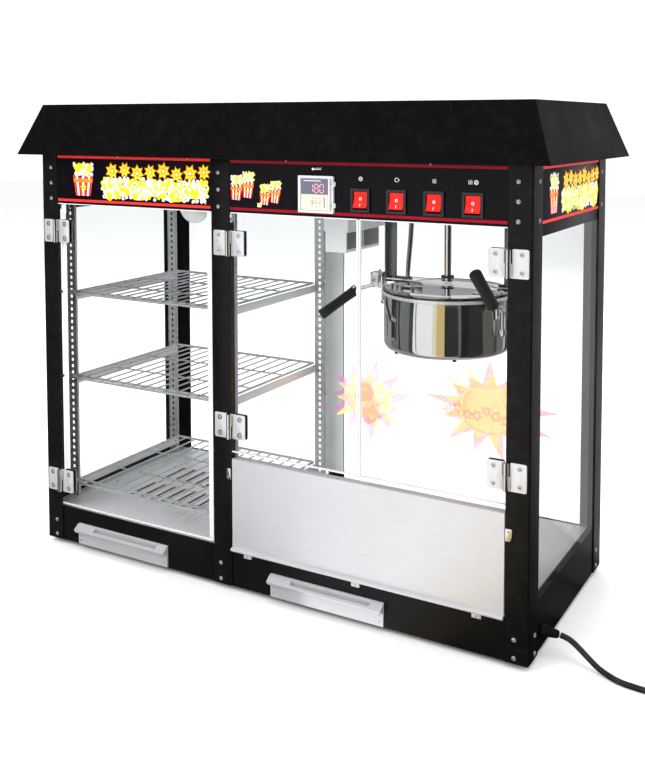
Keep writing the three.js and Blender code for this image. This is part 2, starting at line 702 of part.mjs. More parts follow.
// ---------------------------------------------------------------- doors
const DOORS = {
  left: { from: LEFT_INNER + DOOR_EDGE_GAP, to: MIDDLE_LEFT - DOOR_EDGE_GAP, low: LEFT_DOOR_LOW },
  centre: {
    from: MIDDLE_RIGHT + DOOR_EDGE_GAP,
    to: (MIDDLE_RIGHT + RIGHT_INNER - DOOR_MEETING_GAP) / 2,
    low: RIGHT_DOOR_LOW,
  },
  right: {
    from: (MIDDLE_RIGHT + RIGHT_INNER + DOOR_MEETING_GAP) / 2,
    to: RIGHT_INNER - DOOR_EDGE_GAP,
    low: RIGHT_DOOR_LOW,
  },
};

for (const [side, door] of Object.entries(DOORS)) {
  const hinged = groupAt(HINGE_X[side], HINGE_AXIS_Y, 0);
  const pane = box(
    door.from - HINGE_X[side],
    door.to - HINGE_X[side],
    FRONT + GAP - HINGE_AXIS_Y,
    FRONT + GAP + DOOR_GLASS - HINGE_AXIS_Y,
    door.low,
    DOOR_TOP,
  );
  place(`door_glass_${side}`, pane, "glass", hinged);
  HINGE_LEVELS[side].forEach((z, i) => {
    const leaf = side === "right" ? mirrorX(movingLeaf()) : movingLeaf();
    place(`hinge_leaf_${side}_${i ? "upper" : "lower"}`, leaf.translate([0, 0, z]), "polished", hinged);
  });
}

// ---------------------------------------------------------------- front flap
const FLAP_AXIS_Y = FRONT - FLAP_RAIL_RADIUS - GAP;
const FLAP_AXIS_Z = BASE_TOP;

function frontFlap() {
  const [x0, x1] = [MIDDLE_RIGHT + DOOR_EDGE_GAP, RIGHT_INNER - DOOR_EDGE_GAP];
  const sheetFront = FRONT + GAP - FLAP_AXIS_Y;
  const sheetBack = sheetFront + FLAP_SHEET;
  const low = FLAP_LOW - FLAP_AXIS_Z;
  const top = FLAP_TOP - FLAP_AXIS_Z;
  return union([
    box(x0, x1, sheetFront, sheetBack, low, top),
    box(x0, x1, sheetFront + 0.5, sheetFront + FLAP_HEM, top - FLAP_SHEET, top),
    box(x0, x1, sheetFront + FLAP_HEM - FLAP_SHEET, sheetFront + FLAP_HEM, top - FLAP_HEM, top),
    box(x0, x1, 0, sheetBack, low - 0.5, low + FLAP_SHEET),
    rod([x0, 0, 0], [x1, 0, 0], FLAP_RAIL_RADIUS, 16),
  ]);
}

place("front_flap", frontFlap(), "stainless", groupAt(0, FLAP_AXIS_Y, FLAP_AXIS_Z));

// ---------------------------------------------------------------- drawers
// A drawer about the middle of its front, at the base's front face and underside.
function drawer() {
  const half = DRAWER_WIDTH / 2;
  const wall = DRAWER_SHEET;
  const trayHalf = half - DRAWER_GRIP_WALL;
  const length = BODY_DEPTH - SKIN - SHEET - DRAWER_BACK_SPACE;
  const plateBack = SKIN - GAP;
  const plate = [
    [0, DRAWER_FRONT_TOP],
    [-13, DRAWER_FRONT_TOP - 8],
    [-11, DRAWER_FRONT_TOP - 13],
    [-2, DRAWER_FRONT_TOP - 15],
    [-2, DRAWER_FRONT_LOW],
    [plateBack, DRAWER_FRONT_LOW],
    [plateBack, DRAWER_FRONT_TOP],
  ];
  const tray = box(-trayHalf, trayHalf, plateBack - 0.2, length, DRAWER_TRAY_LOW, DRAWER_TRAY_TOP);
  const hollow = box(
    -trayHalf + wall,
    trayHalf - wall,
    plateBack,
    length - wall,
    DRAWER_TRAY_LOW + wall,
    DRAWER_TRAY_TOP + 9,
  );
  const gripSlot = prismX(
    [
      [-1.6, DRAWER_FRONT_TOP + 3],
      [-9.5, DRAWER_FRONT_TOP + 3],
      [-9.5, DRAWER_FRONT_TOP - 11],
      [-1.6, DRAWER_FRONT_TOP - 12.5],
    ],
    -half + 0.2 * DRAWER_WIDTH,
    half - 0.1 * DRAWER_WIDTH,
  );
  return prismX(plate, -half, half).add(tray.subtract(hollow)).subtract(gripSlot);
}

for (const [side, x] of Object.entries(DRAWERS)) {
  place(`drawer_${side}`, drawer(), "stainless", groupAt(x, FRONT, BASE_LOW));
}

// ---------------------------------------------------------------- shelves
const UPRIGHT_LEFT_X = LEFT + UPRIGHT_WALL_SPACE;
const UPRIGHT_RIGHT_X = MIDDLE - GLASS / 2 - 2 - UPRIGHT_WIDTH;
const UPRIGHT_YS = [FRONT + UPRIGHT_FRONT_SPACE, BACK_PANE_BACK - GLASS - UPRIGHT_BACK_SPACE];
const RAIL_BACK = UPRIGHT_YS[1] + UPRIGHT_SHEET;
const SHELF_LEVELS = SHELF_HEIGHTS.map((rise) => BASE_TOP + rise);

// Two uprights and the three rails that carry one end of each shelf.
function shelfFrame(x0, wallX) {
  const uprights = UPRIGHT_YS.map((y) =>
    box(x0, x0 + UPRIGHT_WIDTH, y, y + UPRIGHT_SHEET, BASE_TOP + GAP, CEILING - GAP),
  );
  const rails = SHELF_LEVELS.map((z) => {
    const top = z - SHELF_ROD_RADIUS - GAP;
    return box(wallX, wallX + RAIL_SHEET, UPRIGHT_YS[0], RAIL_BACK, top - RAIL_HEIGHT, top);
  });
  return union([...uprights, ...rails]);
}

// A wire shelf: a rod frame with a second front rod and wires from front to back.
function wireShelf() {
  const [x0, x1] = [UPRIGHT_LEFT_X + 2, UPRIGHT_RIGHT_X + UPRIGHT_WIDTH - 2];
  const [y0, y1] = [FRONT + SHELF_FRONT_SPACE, UPRIGHT_YS[1] - SHELF_ROD_RADIUS - GAP];
  const sideY = UPRIGHT_YS[0] - SHELF_ROD_RADIUS - 1;
  const inX0 = UPRIGHT_LEFT_X + UPRIGHT_WIDTH + SHELF_ROD_RADIUS + 1;
  const inX1 = UPRIGHT_RIGHT_X - SHELF_ROD_RADIUS - 1;
  const r = SHELF_ROD_RADIUS;
  const bars = [
    rod([x0, y0, 0], [x1, y0, 0], r, 6),
    rod([x0, sideY, 0], [x1, sideY, 0], r, 6),
    rod([inX0, y1, 0], [inX1, y1, 0], r, 6),
    rod([inX0, y0, 0], [inX0, y1, 0], r, 6),
    rod([inX1, y0, 0], [inX1, y1, 0], r, 6),
    rod([x0, y0, 0], [x0, sideY, 0], r, 6),
    rod([x1, y0, 0], [x1, sideY, 0], r, 6),
  ];
  const step = (inX1 - inX0) / (SHELF_WIRES + 1);
  for (let i = 1; i <= SHELF_WIRES; i++) {
    const x = inX0 + i * step;
    bars.push(rod([x, y0, 0], [x, y1, 0], SHELF_WIRE_RADIUS, 4));
  }
  return union(bars);
}

const LEFT_RAIL_X = UPRIGHT_LEFT_X + UPRIGHT_WIDTH - RAIL_SHEET;
place("shelf_frame_left", shelfFrame(UPRIGHT_LEFT_X, LEFT_RAIL_X), "zinc");
place("shelf_frame_right", shelfFrame(UPRIGHT_RIGHT_X, UPRIGHT_RIGHT_X), "zinc");
SHELF_LEVELS.forEach((z, i) => {
  place(`shelf_${["lower", "middle", "upper"][i]}`, wireShelf(), "zinc", groupAt(0, 0, z));
});

// ---------------------------------------------------------------- lamps
function showLamp() {
  const r = SHOW_LAMP_RADIUS;
  const h = SHOW_LAMP_HEIGHT - GAP;
  const rim = r + SHOW_LAMP_RIM;
  const profile = [
    [0, -h],
    [0.5 * r, -h + 1],
    [0.8 * r, -0.8 * h],
    [0.95 * r, -0.55 * h],
    [r, -0.3 * h],
    [r, -0.1 * h],
    [rim, -0.1 * h],
    [rim, 0],
    [0, 0],
  ];
  return turned(profile, 32);
}

// The lamp housing: a box open at its foot, with a mounting flange along the ceiling.
function cabinetLamp() {
  const [hx, hy] = [LAMP_BOX_WIDTH / 2, LAMP_BOX_DEPTH / 2];
  const outer = box(-hx, hx, -hy, hy, -LAMP_BOX_HEIGHT, 0);
  const reach = hx + LAMP_FLANGE_SIDE;
  const flange = box(-reach, reach, -hy, hy + LAMP_FLANGE_BACK, -LAMP_BOX_FLANGE, 0);
  const hollow = box(
    -hx + LAMP_SHEET,
    hx - LAMP_SHEET,
    -hy + LAMP_SHEET,
    hy - LAMP_SHEET,
    -LAMP_BOX_HEIGHT - 1,
    -LAMP_SHEET,
  );
  const bulb = turned(
    [
      [0, -BULB_LENGTH],
      [0.7 * BULB_RADIUS, 2 - BULB_LENGTH],
      [BULB_RADIUS, -0.75 * BULB_LENGTH],
      [BULB_RADIUS, -0.5 * BULB_LENGTH],
      [BULB_NECK_RADIUS, -0.3 * BULB_LENGTH],
      [BULB_NECK_RADIUS, -1],
      [0, -1],
    ],
    24,
  );
  return outer.add(flange).subtract(hollow).add(bulb);
}

place("show_lamp", showLamp(), "lamp_glass", groupAt((LEFT + MIDDLE) / 2, 0, CEILING - GAP));
place(
  "cabinet_lamp",
  cabinetLamp(),
  "white_paint",
  groupAt(KETTLE_X + LAMP_BOX_OFFSET, 0, CEILING - GAP),
);

// ---------------------------------------------------------------- kettle drive and hanger
const HANGER_OUT = KETTLE_RADIUS + HANGER_OVERHANG;
const EAR_IN = HANGER_OUT + 2 + GAP;

function kettleHanger() {
  const [hw, hh] = [BAR_WIDTH / 2, BAR_HEIGHT / 2];
  const top = KETTLE_DROP - GAP;
  const pinEnd = EAR_IN + EAR_SHEET + PIVOT_END;
  const pieces = [
    box(-HANGER_OUT, HANGER_OUT, -hw, hw, -hh, hh),
    rod([0, 0, -hh], [0, 0, hh], BAR_BOSS_RADIUS, 32),
    rod([-pinEnd, 0, 0], [pinEnd, 0, 0], PIVOT_RADIUS, 20),
  ];
  for (const side of [-1, 1]) {
    const ends = (a, b) => [Math.min(side * a, side * b), Math.max(side * a, side * b)];
    const [f0, f1] = ends(HANGER_OUT - HANGER_FACE, HANGER_OUT);
    const [w0, w1] = ends(HANGER_OUT - HANGER_SHEET, HANGER_OUT);
    const [t0, t1] = ends(HANGER_OUT - HANGER_FACE, HANGER_OUT + HANGER_TAB);
    const half = HANGER_FLANGE / 2;
    pieces.push(box(f0, f1, half - HANGER_SHEET, half, -hh, top));
    pieces.push(box(w0, w1, -half, half, -hh, top));
    pieces.push(box(t0, t1, -HANGER_TAB_FRONT, half, top - HANGER_SHEET, top));
  }
  const bore = rod([0, 0, -hh - 1], [0, 0, hh + 1], SHAFT_HOLE_RADIUS, 24);
  return union(pieces).subtract(bore);
}

const SHAFT_TOP = KETTLE_DROP + SHEET + GAP + MOTOR_SOCKET_DEPTH - 1;

function driveShaft() {
  const step = -BAR_HEIGHT / 2 + 2;
  const collarLow = BAR_HEIGHT / 2 + GAP;
  return turned([
    [0, -SHAFT_DOG_DROP],
    [SHAFT_DOG_RADIUS, -SHAFT_DOG_DROP],
    [SHAFT_DOG_RADIUS, step],
    [SHAFT_RADIUS, step],
    [SHAFT_RADIUS, collarLow],
    [COLLAR_RADIUS, collarLow],
    [COLLAR_RADIUS, collarLow + COLLAR_HEIGHT],
    [SHAFT_RADIUS, collarLow + COLLAR_HEIGHT],
    [SHAFT_RADIUS, SHAFT_TOP],
    [0, SHAFT_TOP],
  ], 24);
}

function driveMotor() {
  const low = KETTLE_DROP + SHEET + GAP;
  const socket = SHAFT_HOLE_RADIUS;
  const gearbox = turned([
    [socket, low],
    [MOTOR_RADIUS, low],
    [MOTOR_RADIUS, low + 0.45 * MOTOR_HEIGHT],
    [0.75 * MOTOR_RADIUS, low + 0.45 * MOTOR_HEIGHT],
    [0.75 * MOTOR_RADIUS, low + MOTOR_HEIGHT],
    [0, low + MOTOR_HEIGHT],
    [0, low + MOTOR_SOCKET_DEPTH],
    [socket, low + MOTOR_SOCKET_DEPTH],
    [socket, low],
  ], 32);
  return gearbox;
}

const kettleAxis = groupAt(KETTLE_X, 0, AXIS_Z);
place("kettle_hanger", kettleHanger(), "polished", kettleAxis);
place("drive_shaft", driveShaft(), "polished", kettleAxis);
place("drive_motor", driveMotor(), "zinc", kettleAxis);

// ---------------------------------------------------------------- kettle
// All kettle pieces are drawn about the point where the tilt axis crosses the drive shaft.
const LID_LOW = -LID_TOP_DROP - LID_SHEET;
const RIM_TOP = LID_LOW - GAP;
const POT_LOW = RIM_TOP - KETTLE_DEPTH;
const POT_FLOOR = POT_LOW + KETTLE_FLOOR_RISE;

function potShell() {
  const r = KETTLE_RADIUS;
  const inner = r - KETTLE_WALL;
  const corner = 12;
  const rounded = [0, 30, 60, 90].map((deg) => {
    const turn = THREE.MathUtils.degToRad(deg);
    return [r - corner + corner * Math.sin(turn), POT_LOW + corner - corner * Math.cos(turn)];
  });
  return turned([
    [0, POT_FLOOR - KETTLE_WALL],
    [inner, POT_FLOOR - KETTLE_WALL],
    [inner, POT_LOW + corner],
    [r - corner, POT_LOW + KETTLE_WALL],
    ...rounded,
    [r, RIM_TOP - KETTLE_BAND_HEIGHT],
    [r + KETTLE_BAND_PROUD, RIM_TOP - KETTLE_BAND_HEIGHT + 1],
    [r + KETTLE_BAND_PROUD, RIM_TOP - 0.8],
    [r, RIM_TOP],
    [inner, RIM_TOP],
    [inner, POT_FLOOR],
    [0, POT_FLOOR],
  ], 56);
}

// The strip that stays on the rim between the two lids, with the hole for the drive.
function lidBridge() {
  const reach = Math.sqrt((KETTLE_RADIUS - 0.6) ** 2 - LID_BRIDGE ** 2);
  const strip = box(-reach, reach, -LID_BRIDGE, LID_BRIDGE, LID_LOW, -LID_TOP_DROP);
  const hole = rod([0, 0, LID_LOW - 1], [0, 0, -LID_TOP_DROP + 1], LID_HOLE_RADIUS, 32);
  const ties = [-1, 1].map((side) => {
    const middle = side * (KETTLE_RADIUS - KETTLE_WALL / 2 - 0.6);
    return box(middle - 0.8, middle + 0.8, -8, 8, RIM_TOP - 2, LID_LOW + 0.5);
  });
  return union([strip.subtract(hole), ...ties]);
}

function ear(side) {
  const ends = (a, b) => [Math.min(side * a, side * b), Math.max(side * a, side * b)];
  const [x0, x1] = ends(EAR_IN, EAR_IN + EAR_SHEET);
  const [f0, f1] = ends(KETTLE_RADIUS - 1, EAR_IN + EAR_SHEET);
  const footTop = -EAR_FOOT_DROP;
  const plate = box(x0, x1, -EAR_WIDTH / 2, EAR_WIDTH / 2, footTop - EAR_FOOT_HEIGHT, 0);
  const head = rod([x0, 0, 0], [x1, 0, 0], EAR_WIDTH / 2, 24);
  const foot = box(f0, f1, -EAR_WIDTH / 2, EAR_WIDTH / 2, footTop - EAR_FOOT_HEIGHT, footTop);
  const bore = rod([x0 - 1, 0, 0], [x1 + 1, 0, 0], PIVOT_RADIUS + PIVOT_CLEARANCE, 20);
  return union([plate, head, foot]).subtract(bore);
}

function terminalBox() {
  const half = TERMINAL_SIZE / 2;
  const made = box(
    KETTLE_RADIUS - 1, TERMINAL_REACH + half, -half, half,
    -TERMINAL_TOP_DROP - TERMINAL_SIZE, -TERMINAL_TOP_DROP);
  return made.rotate([0, 0, TERMINAL_ANGLE]);
}

function kettlePot() {
  return union([potShell(), lidBridge(), ear(-1), ear(1), terminalBox()]);
}

// Half a disc in front of the bridge; the rear lid is its mirror image.
function kettleLid() {
  const edge = LID_BRIDGE + GAP;
  const r = KETTLE_RADIUS - 0.4;
  const turn = Math.asin(edge / r);
  const shape = new THREE.Shape();
  shape.absarc(0, 0, r, Math.PI + turn, 2 * Math.PI - turn, false);
  shape.closePath();
  return prismZ(shape, LID_LOW, -LID_TOP_DROP, 40);
}

function agitator() {
  const low = POT_FLOOR + 2;
  const blade = (turn) => {
    const bar = box(-2, AGITATOR_RADIUS, -1.5, 1.5, low, low + 5);
    const tip = box(AGITATOR_RADIUS - 3, AGITATOR_RADIUS, -1.5, 1.5, low, low + 16);
    return bar.add(tip).rotate([0, 0, turn]);
  };
  const shaft = rod([0, 0, low], [0, 0, -AGITATOR_TOP_DROP - 5], AGITATOR_SHAFT_RADIUS, 16);
  const hub = rod([0, 0, low], [0, 0, low + 12], 2 * AGITATOR_SHAFT_RADIUS, 20);
  const tongue = box(-1.5, 1.5, -3.5, 3.5, -AGITATOR_TOP_DROP - 6, -AGITATOR_TOP_DROP);
  return union([blade(20), blade(200), shaft, hub, tongue]);
}

function heatingElement() {
  const r = KETTLE_RADIUS - 14;
  const top = POT_FLOOR - KETTLE_WALL - GAP;
  return turned([[0, POT_LOW + 1], [r - 2, POT_LOW + 1], [r, POT_LOW + 3], [r, top], [0, top]], 48);
}

// Left handle: a clamp beside the ear, a lever rod and its grip, pointing down to the front.
function leftHandle() {
  const x = -(EAR_IN + EAR_SHEET + GAP);
  const start = [x - 14, -6, -12];
  const gripFrom = [x - 43, -15, -22];
  const gripTo = [x - 82, -64, -60];
  const pinRoom = rod([x + 1, 0, 0], [x - 4, 0, 0], PIVOT_RADIUS + 1, 20);
  const clamp = box(x - 20, x, -9, 9, -17, 9).subtract(pinRoom);
  return union([
    clamp,
    rod(start, gripFrom, LEVER_RADIUS, 12),
    rod(gripFrom, gripTo, LEFT_GRIP_RADIUS, 20),
    rod([x - 40, -14, -21], [x - 44, -16, -23], LEVER_RADIUS + 1, 12),
  ]);
}

// Right handle: a bracket beside the pot's wall and a grip that rises towards the front.
function rightHandle() {
  const inner = KETTLE_RADIUS + KETTLE_BAND_PROUD + GAP;
  const half = BRACKET_WIDTH / 2;
  const bracket = union([
    box(inner, inner + BRACKET_SHEET, -half, half, BRACKET_LOW, BRACKET_TOP),
    rod([inner + 7, 0, BRACKET_TOP - 12], [inner + 7, 0, STAY_LOW], STAY_RADIUS, 10),
    rod([inner + 3, 0, -30], [inner + 8, 0, -26], LEVER_RADIUS + 2, 12),
  ]).rotate([0, 0, BRACKET_TURN]);
  const turn = THREE.MathUtils.degToRad(BRACKET_TURN);
  const knee = [(inner + 8) * Math.cos(turn), (inner + 8) * Math.sin(turn), -26];
  const gripFrom = [inner - 3.7, -60, -20];
  const gripTo = [inner - 21.7, -92, 35];
  return union([
    bracket,
    rod(knee, gripFrom, LEVER_RADIUS + 1, 12),
    rod(gripFrom, gripTo, RIGHT_GRIP_RADIUS, 20),
  ]);
}

place("kettle_pot", kettlePot(), "polished", kettleAxis);
place("kettle_lid_front", kettleLid(), "polished", kettleAxis);
place("kettle_lid_rear", mirrorY(kettleLid()), "polished", kettleAxis);
place("agitator", agitator(), "stainless", kettleAxis);
place("heating_element", heatingElement(), "stainless", kettleAxis);
place("kettle_handle_left", leftHandle(), "black_plastic", kettleAxis);
place("kettle_handle_right", rightHandle(), "black_plastic", kettleAxis);

// The armoured conduit from the ceiling to the terminal box on the pot.
function heaterConduit() {
  const reach = TERMINAL_REACH;
  const end = [KETTLE_X + reach * Math.cos(TERMINAL_TURN), reach * Math.sin(TERMINAL_TURN)];
  const low = AXIS_Z - TERMINAL_TOP_DROP + GAP;
  const [startX, startY] = CONDUIT_ENTRY;
  const curve = new THREE.CubicBezierCurve3(
    new THREE.Vector3(startX, startY, CEILING + SHEET + CONDUIT_TAIL),
    new THREE.Vector3(startX, startY, CEILING - 54),
    new THREE.Vector3(end[0], end[1], low + 60),
    new THREE.Vector3(end[0], end[1], low),
  );
  return tubeAlong(curve, CONDUIT_RADIUS, CONDUIT_SIDES, CONDUIT_STEPS);
}

function tubeAlong(curve, radius, sides, steps) {
  const ring = Array.from({ length: sides }, (_, i) => {
    const turn = (2 * Math.PI * i) / sides;
    return new THREE.Vector2(radius * Math.cos(turn), radius * Math.sin(turn));
  });
  return solid(new THREE.ExtrudeGeometry(new THREE.Shape(ring), { steps, extrudePath: curve }));
}

place("heater_conduit", heaterConduit(), "zinc");

// ---------------------------------------------------------------- gland, cord, coil and plug
const GLAND_START = RIGHT + GAP;
const GLAND_END = GLAND_START + GLAND_LENGTH;
const GLAND_CENTRE_Y = FRONT + GLAND_Y;
const GLAND_CENTRE_Z = BASE_LOW + GLAND_Z;

function cableGland() {
  const bore = CORD_DIAMETER / 2 + 0.4;
  const profile = [
    [bore, 0],
    [GLAND_RADIUS, 0],
    [GLAND_RADIUS, 6],
    [GLAND_RADIUS - 3, 8],
    [GLAND_RADIUS - 4, GLAND_LENGTH],
    [bore, GLAND_LENGTH],
    [bore, 0],
  ];
  return turned(profile, 24).rotate([0, 90, 0]);
}

place("cable_gland", cableGland(), "black_plastic", groupAt(GLAND_START, GLAND_CENTRE_Y, GLAND_CENTRE_Z));

// The free stretch of the cord, from inside the gland to the outer turn of the coil.
const CORD_ROUTE = [
  [446, -125, 34],
  [462, -125, 34],
  [477, -125, 33.8],
  [490, -126, 31],
  [504, -129, 24],
  [519, -133, 15],
  [534, -138, 7.6],
  [550, -144, 4.3],
  [566, -151, 4.1],
  [585, -154, 4.1],
  [608, -155, 4.1],
  [632, -154, 4.1],
];
const CORD_END = CORD_ROUTE[CORD_ROUTE.length - 1];

function powerCord() {
  const points = CORD_ROUTE.map((p) => new THREE.Vector3(...p));
  const curve = new THREE.CatmullRomCurve3(points, false, "centripetal");
  return tubeAlong(curve, CORD_DIAMETER / 2, CORD_SIDES, CORD_STEPS);
}

place("power_cord", powerCord(), "rubber");

// The rest of the cord is wound into a flat coil of two layers, here as its outer shape.
// Its turns lie from one diameter inside the middle radius to one outside it.
const COIL_OUTER = COIL_MID_RADIUS + 1.5 * CORD_DIAMETER + GAP;
const COIL_INNER = COIL_MID_RADIUS - 1.5 * CORD_DIAMETER - GAP;
const COIL_HEIGHT = COIL_LAYERS * CORD_DIAMETER + 1;
const COIL_RUN_IN = 31.5; // the free stretch ends this far before the coil's middle
const COIL_CENTRE = [CORD_END[0] + COIL_RUN_IN, CORD_END[1] + COIL_MID_RADIUS + CORD_DIAMETER];

function cordCoil() {
  return turned([
    [COIL_INNER, 0.1],
    [COIL_OUTER, 0.1],
    [COIL_OUTER, COIL_HEIGHT],
    [COIL_INNER, COIL_HEIGHT],
    [COIL_INNER, 0.1],
  ], 48);
}

// A plug lying on the floor: strain relief, grip and body along +Y, with three flat pins.
function plug() {
  const low = 0.1;
  const body = box(-15, 15, 18, PLUG_LENGTH, low, 26);
  const grip = box(-9, 9, 8, 19, low + 2, 20);
  const neck = rod([0, 0, 9], [0, 9, 11], CORD_DIAMETER / 2 + 1.2, 12);
  const pin = (x, z, h) => box(x - 3.2, x + 3.2, PLUG_LENGTH - 0.5, PLUG_LENGTH + 17, z, z + h);
  return union([body, grip, neck, pin(-8, 8, 1.8), pin(8, 8, 1.8), pin(0, 17, 4)]);
}

place("cord_coil", cordCoil(), "rubber", groupAt(COIL_CENTRE[0], COIL_CENTRE[1], 0));
place(
  "plug",
  plug(),
  "black_plastic",
  groupAt(COIL_CENTRE[0] + COIL_OUTER - 3, COIL_CENTRE[1] + 34, 0),
);

export default model;
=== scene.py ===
import json
import math
import random

import bmesh
import bpy
from mathutils import Matrix, Vector

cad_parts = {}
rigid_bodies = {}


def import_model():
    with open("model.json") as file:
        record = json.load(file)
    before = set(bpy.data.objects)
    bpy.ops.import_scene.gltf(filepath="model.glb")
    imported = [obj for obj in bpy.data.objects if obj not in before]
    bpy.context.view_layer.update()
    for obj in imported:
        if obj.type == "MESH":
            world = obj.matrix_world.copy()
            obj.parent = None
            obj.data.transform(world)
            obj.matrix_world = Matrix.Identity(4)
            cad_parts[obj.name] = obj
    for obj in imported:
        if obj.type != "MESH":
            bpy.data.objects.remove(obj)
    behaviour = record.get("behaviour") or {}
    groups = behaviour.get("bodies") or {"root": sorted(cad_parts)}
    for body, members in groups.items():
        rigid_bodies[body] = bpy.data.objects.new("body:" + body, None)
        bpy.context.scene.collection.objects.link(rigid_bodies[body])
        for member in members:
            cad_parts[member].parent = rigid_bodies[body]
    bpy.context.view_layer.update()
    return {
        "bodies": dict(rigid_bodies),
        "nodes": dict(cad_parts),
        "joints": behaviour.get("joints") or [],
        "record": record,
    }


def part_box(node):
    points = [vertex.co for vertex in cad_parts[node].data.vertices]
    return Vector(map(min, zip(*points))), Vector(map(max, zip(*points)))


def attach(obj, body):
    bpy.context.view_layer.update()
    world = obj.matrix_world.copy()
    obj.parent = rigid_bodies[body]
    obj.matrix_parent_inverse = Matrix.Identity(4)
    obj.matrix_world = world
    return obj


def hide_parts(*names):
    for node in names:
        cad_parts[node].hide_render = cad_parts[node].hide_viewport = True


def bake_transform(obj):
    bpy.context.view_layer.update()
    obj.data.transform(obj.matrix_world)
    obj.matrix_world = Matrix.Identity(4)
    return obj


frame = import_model()
NODES = frame["nodes"]
MM = 0.001

# ---------------------------------------------------------------- camera
CAMERA_PLACE = (0.8747, -1.4585, 0.7534)
CAMERA_YAW = 29.20  # degrees to the left of +Y
CAMERA_PITCH = 3.5  # degrees down
CAMERA_LENS = 46.31  # mm on a 36 mm high frame
CAMERA_SHIFT = (-0.029, -0.2635)


def make_camera():
    data = bpy.data.cameras.new("camera")
    data.lens = CAMERA_LENS
    data.shift_x, data.shift_y = CAMERA_SHIFT
    data.clip_start, data.clip_end = 0.05, 60
    camera = bpy.data.objects.new("camera", data)
    camera.location = CAMERA_PLACE
    camera.rotation_euler = (math.radians(90 - CAMERA_PITCH), 0, math.radians(CAMERA_YAW))
    bpy.context.scene.collection.objects.link(camera)
    bpy.context.scene.camera = camera


make_camera()


# ---------------------------------------------------------------- materials
class Shader:
    """A material under construction: nodes by short calls, one Principled shader at the end."""

    SOCKETS = {
        "colour": "Base Color", "metallic": "Metallic", "rough": "Roughness", "specular": "Specular IOR Level",
        "coat": "Coat Weight", "alpha": "Alpha", "glow": "Emission Color", "power": "Emission Strength",
    }

    def __init__(self, name):
        self.material = bpy.data.materials.new(name)
        self.material.use_nodes = True
        self.tree = self.material.node_tree
        self.bsdf = self.tree.nodes["Principled BSDF"]
        self.place = self.node("ShaderNodeTexCoord").outputs["Object"]

    def node(self, kind):
        return self.tree.nodes.new(kind)

    def link(self, a, b):
        self.tree.links.new(a, b)

    def noise(self, scale, detail=4.0, rough=0.55, stretch=None, distortion=0.0):
        node = self.node("ShaderNodeTexNoise")
        node.inputs["Scale"].default_value = scale
        node.inputs["Detail"].default_value = detail
        node.inputs["Roughness"].default_value = rough
        node.inputs["Distortion"].default_value = distortion
        place = self.place
        if stretch:
            mapping = self.node("ShaderNodeMapping")
            mapping.inputs["Scale"].default_value = stretch
            self.link(place, mapping.inputs["Vector"])
            place = mapping.outputs["Vector"]
        self.link(place, node.inputs["Vector"])
        return node.outputs["Fac"]

    def cells(self, scale):
        node = self.node("ShaderNodeTexVoronoi")
        node.inputs["Scale"].default_value = scale
        self.link(self.place, node.inputs["Vector"])
        return node.outputs["Color"]

    def span(self, value, low, high, start=0.0, end=1.0):
        """value from start..end stretched to low..high."""
        node = self.node("ShaderNodeMapRange")
        for name, number in zip(("From Min", "From Max", "To Min", "To Max"), (start, end, low, high)):
            node.inputs[name].default_value = number
        self.link(value, node.inputs["Value"])
        return node.outputs["Result"]

    def math(self, kind, a, b):
        node = self.node("ShaderNodeMath")
        node.operation = kind
        for socket, value in zip(node.inputs, (a, b)):
            if isinstance(value, (int, float)):
                socket.default_value = value
            else:
                self.link(value, socket)
        return node.outputs[0]

    def colours(self, value, *stops):
        """A ramp of (place, colour) stops."""
        node = self.node("ShaderNodeValToRGB")
        ramp = node.color_ramp
        while len(ramp.elements) < len(stops):
            ramp.elements.new(0.5)
        for element, (place, colour) in zip(ramp.elements, stops):
            element.position = place
            element.color = (*colour, 1)
        self.link(value, node.inputs["Fac"])
        return node.outputs["Color"]

    def edges(self, low=0.5, high=0.62):
        """1 on sharp outward edges, 0 elsewhere."""
        node = self.node("ShaderNodeNewGeometry")
        return self.span(node.outputs["Pointiness"], 0.0, 1.0, low, high)

    def set(self, **values):
        for name, value in values.items():
            socket = self.bsdf.inputs[self.SOCKETS[name]]
            if isinstance(value, bpy.types.NodeSocket):
                self.link(value, socket)
            elif hasattr(value, "__len__") and len(value) == 3:
                socket.default_value = (*value, 1)
            else:
                socket.default_value = value
        return self

    def bump(self, height, strength=0.3, distance=0.001):
        node = self.node("ShaderNodeBump")
        node.inputs["Strength"].default_value = strength
        node.inputs["Distance"].default_value = distance
        self.link(height, node.inputs["Height"])
        self.link(node.outputs["Normal"], self.bsdf.inputs["Normal"])
        return self


def powder_coat(name, dark, light, sheen, rough=(0.34, 0.46)):
    """Black powder-coated sheet: fine orange peel, faint dust and rubbed edges."""
    m = Shader(name)
    peel = m.noise(900, 3, 0.5)
    cloud = m.noise(9, 5, 0.6)
    worn = m.math("MULTIPLY", m.edges(0.53, 0.6), m.span(m.noise(60, 4), 0.0, 1.0, 0.5, 0.62))
    mixed = m.math("ADD", m.span(cloud, 0.1, 0.45, 0.35, 0.7), m.math("MULTIPLY", worn, 0.5))
    m.set(colour=m.colours(mixed, (0.0, dark), (1.0, light)))
    m.set(rough=m.span(cloud, rough[0], rough[1], 0.3, 0.7), specular=sheen)
    return m.bump(peel, 0.12, 0.0004).material


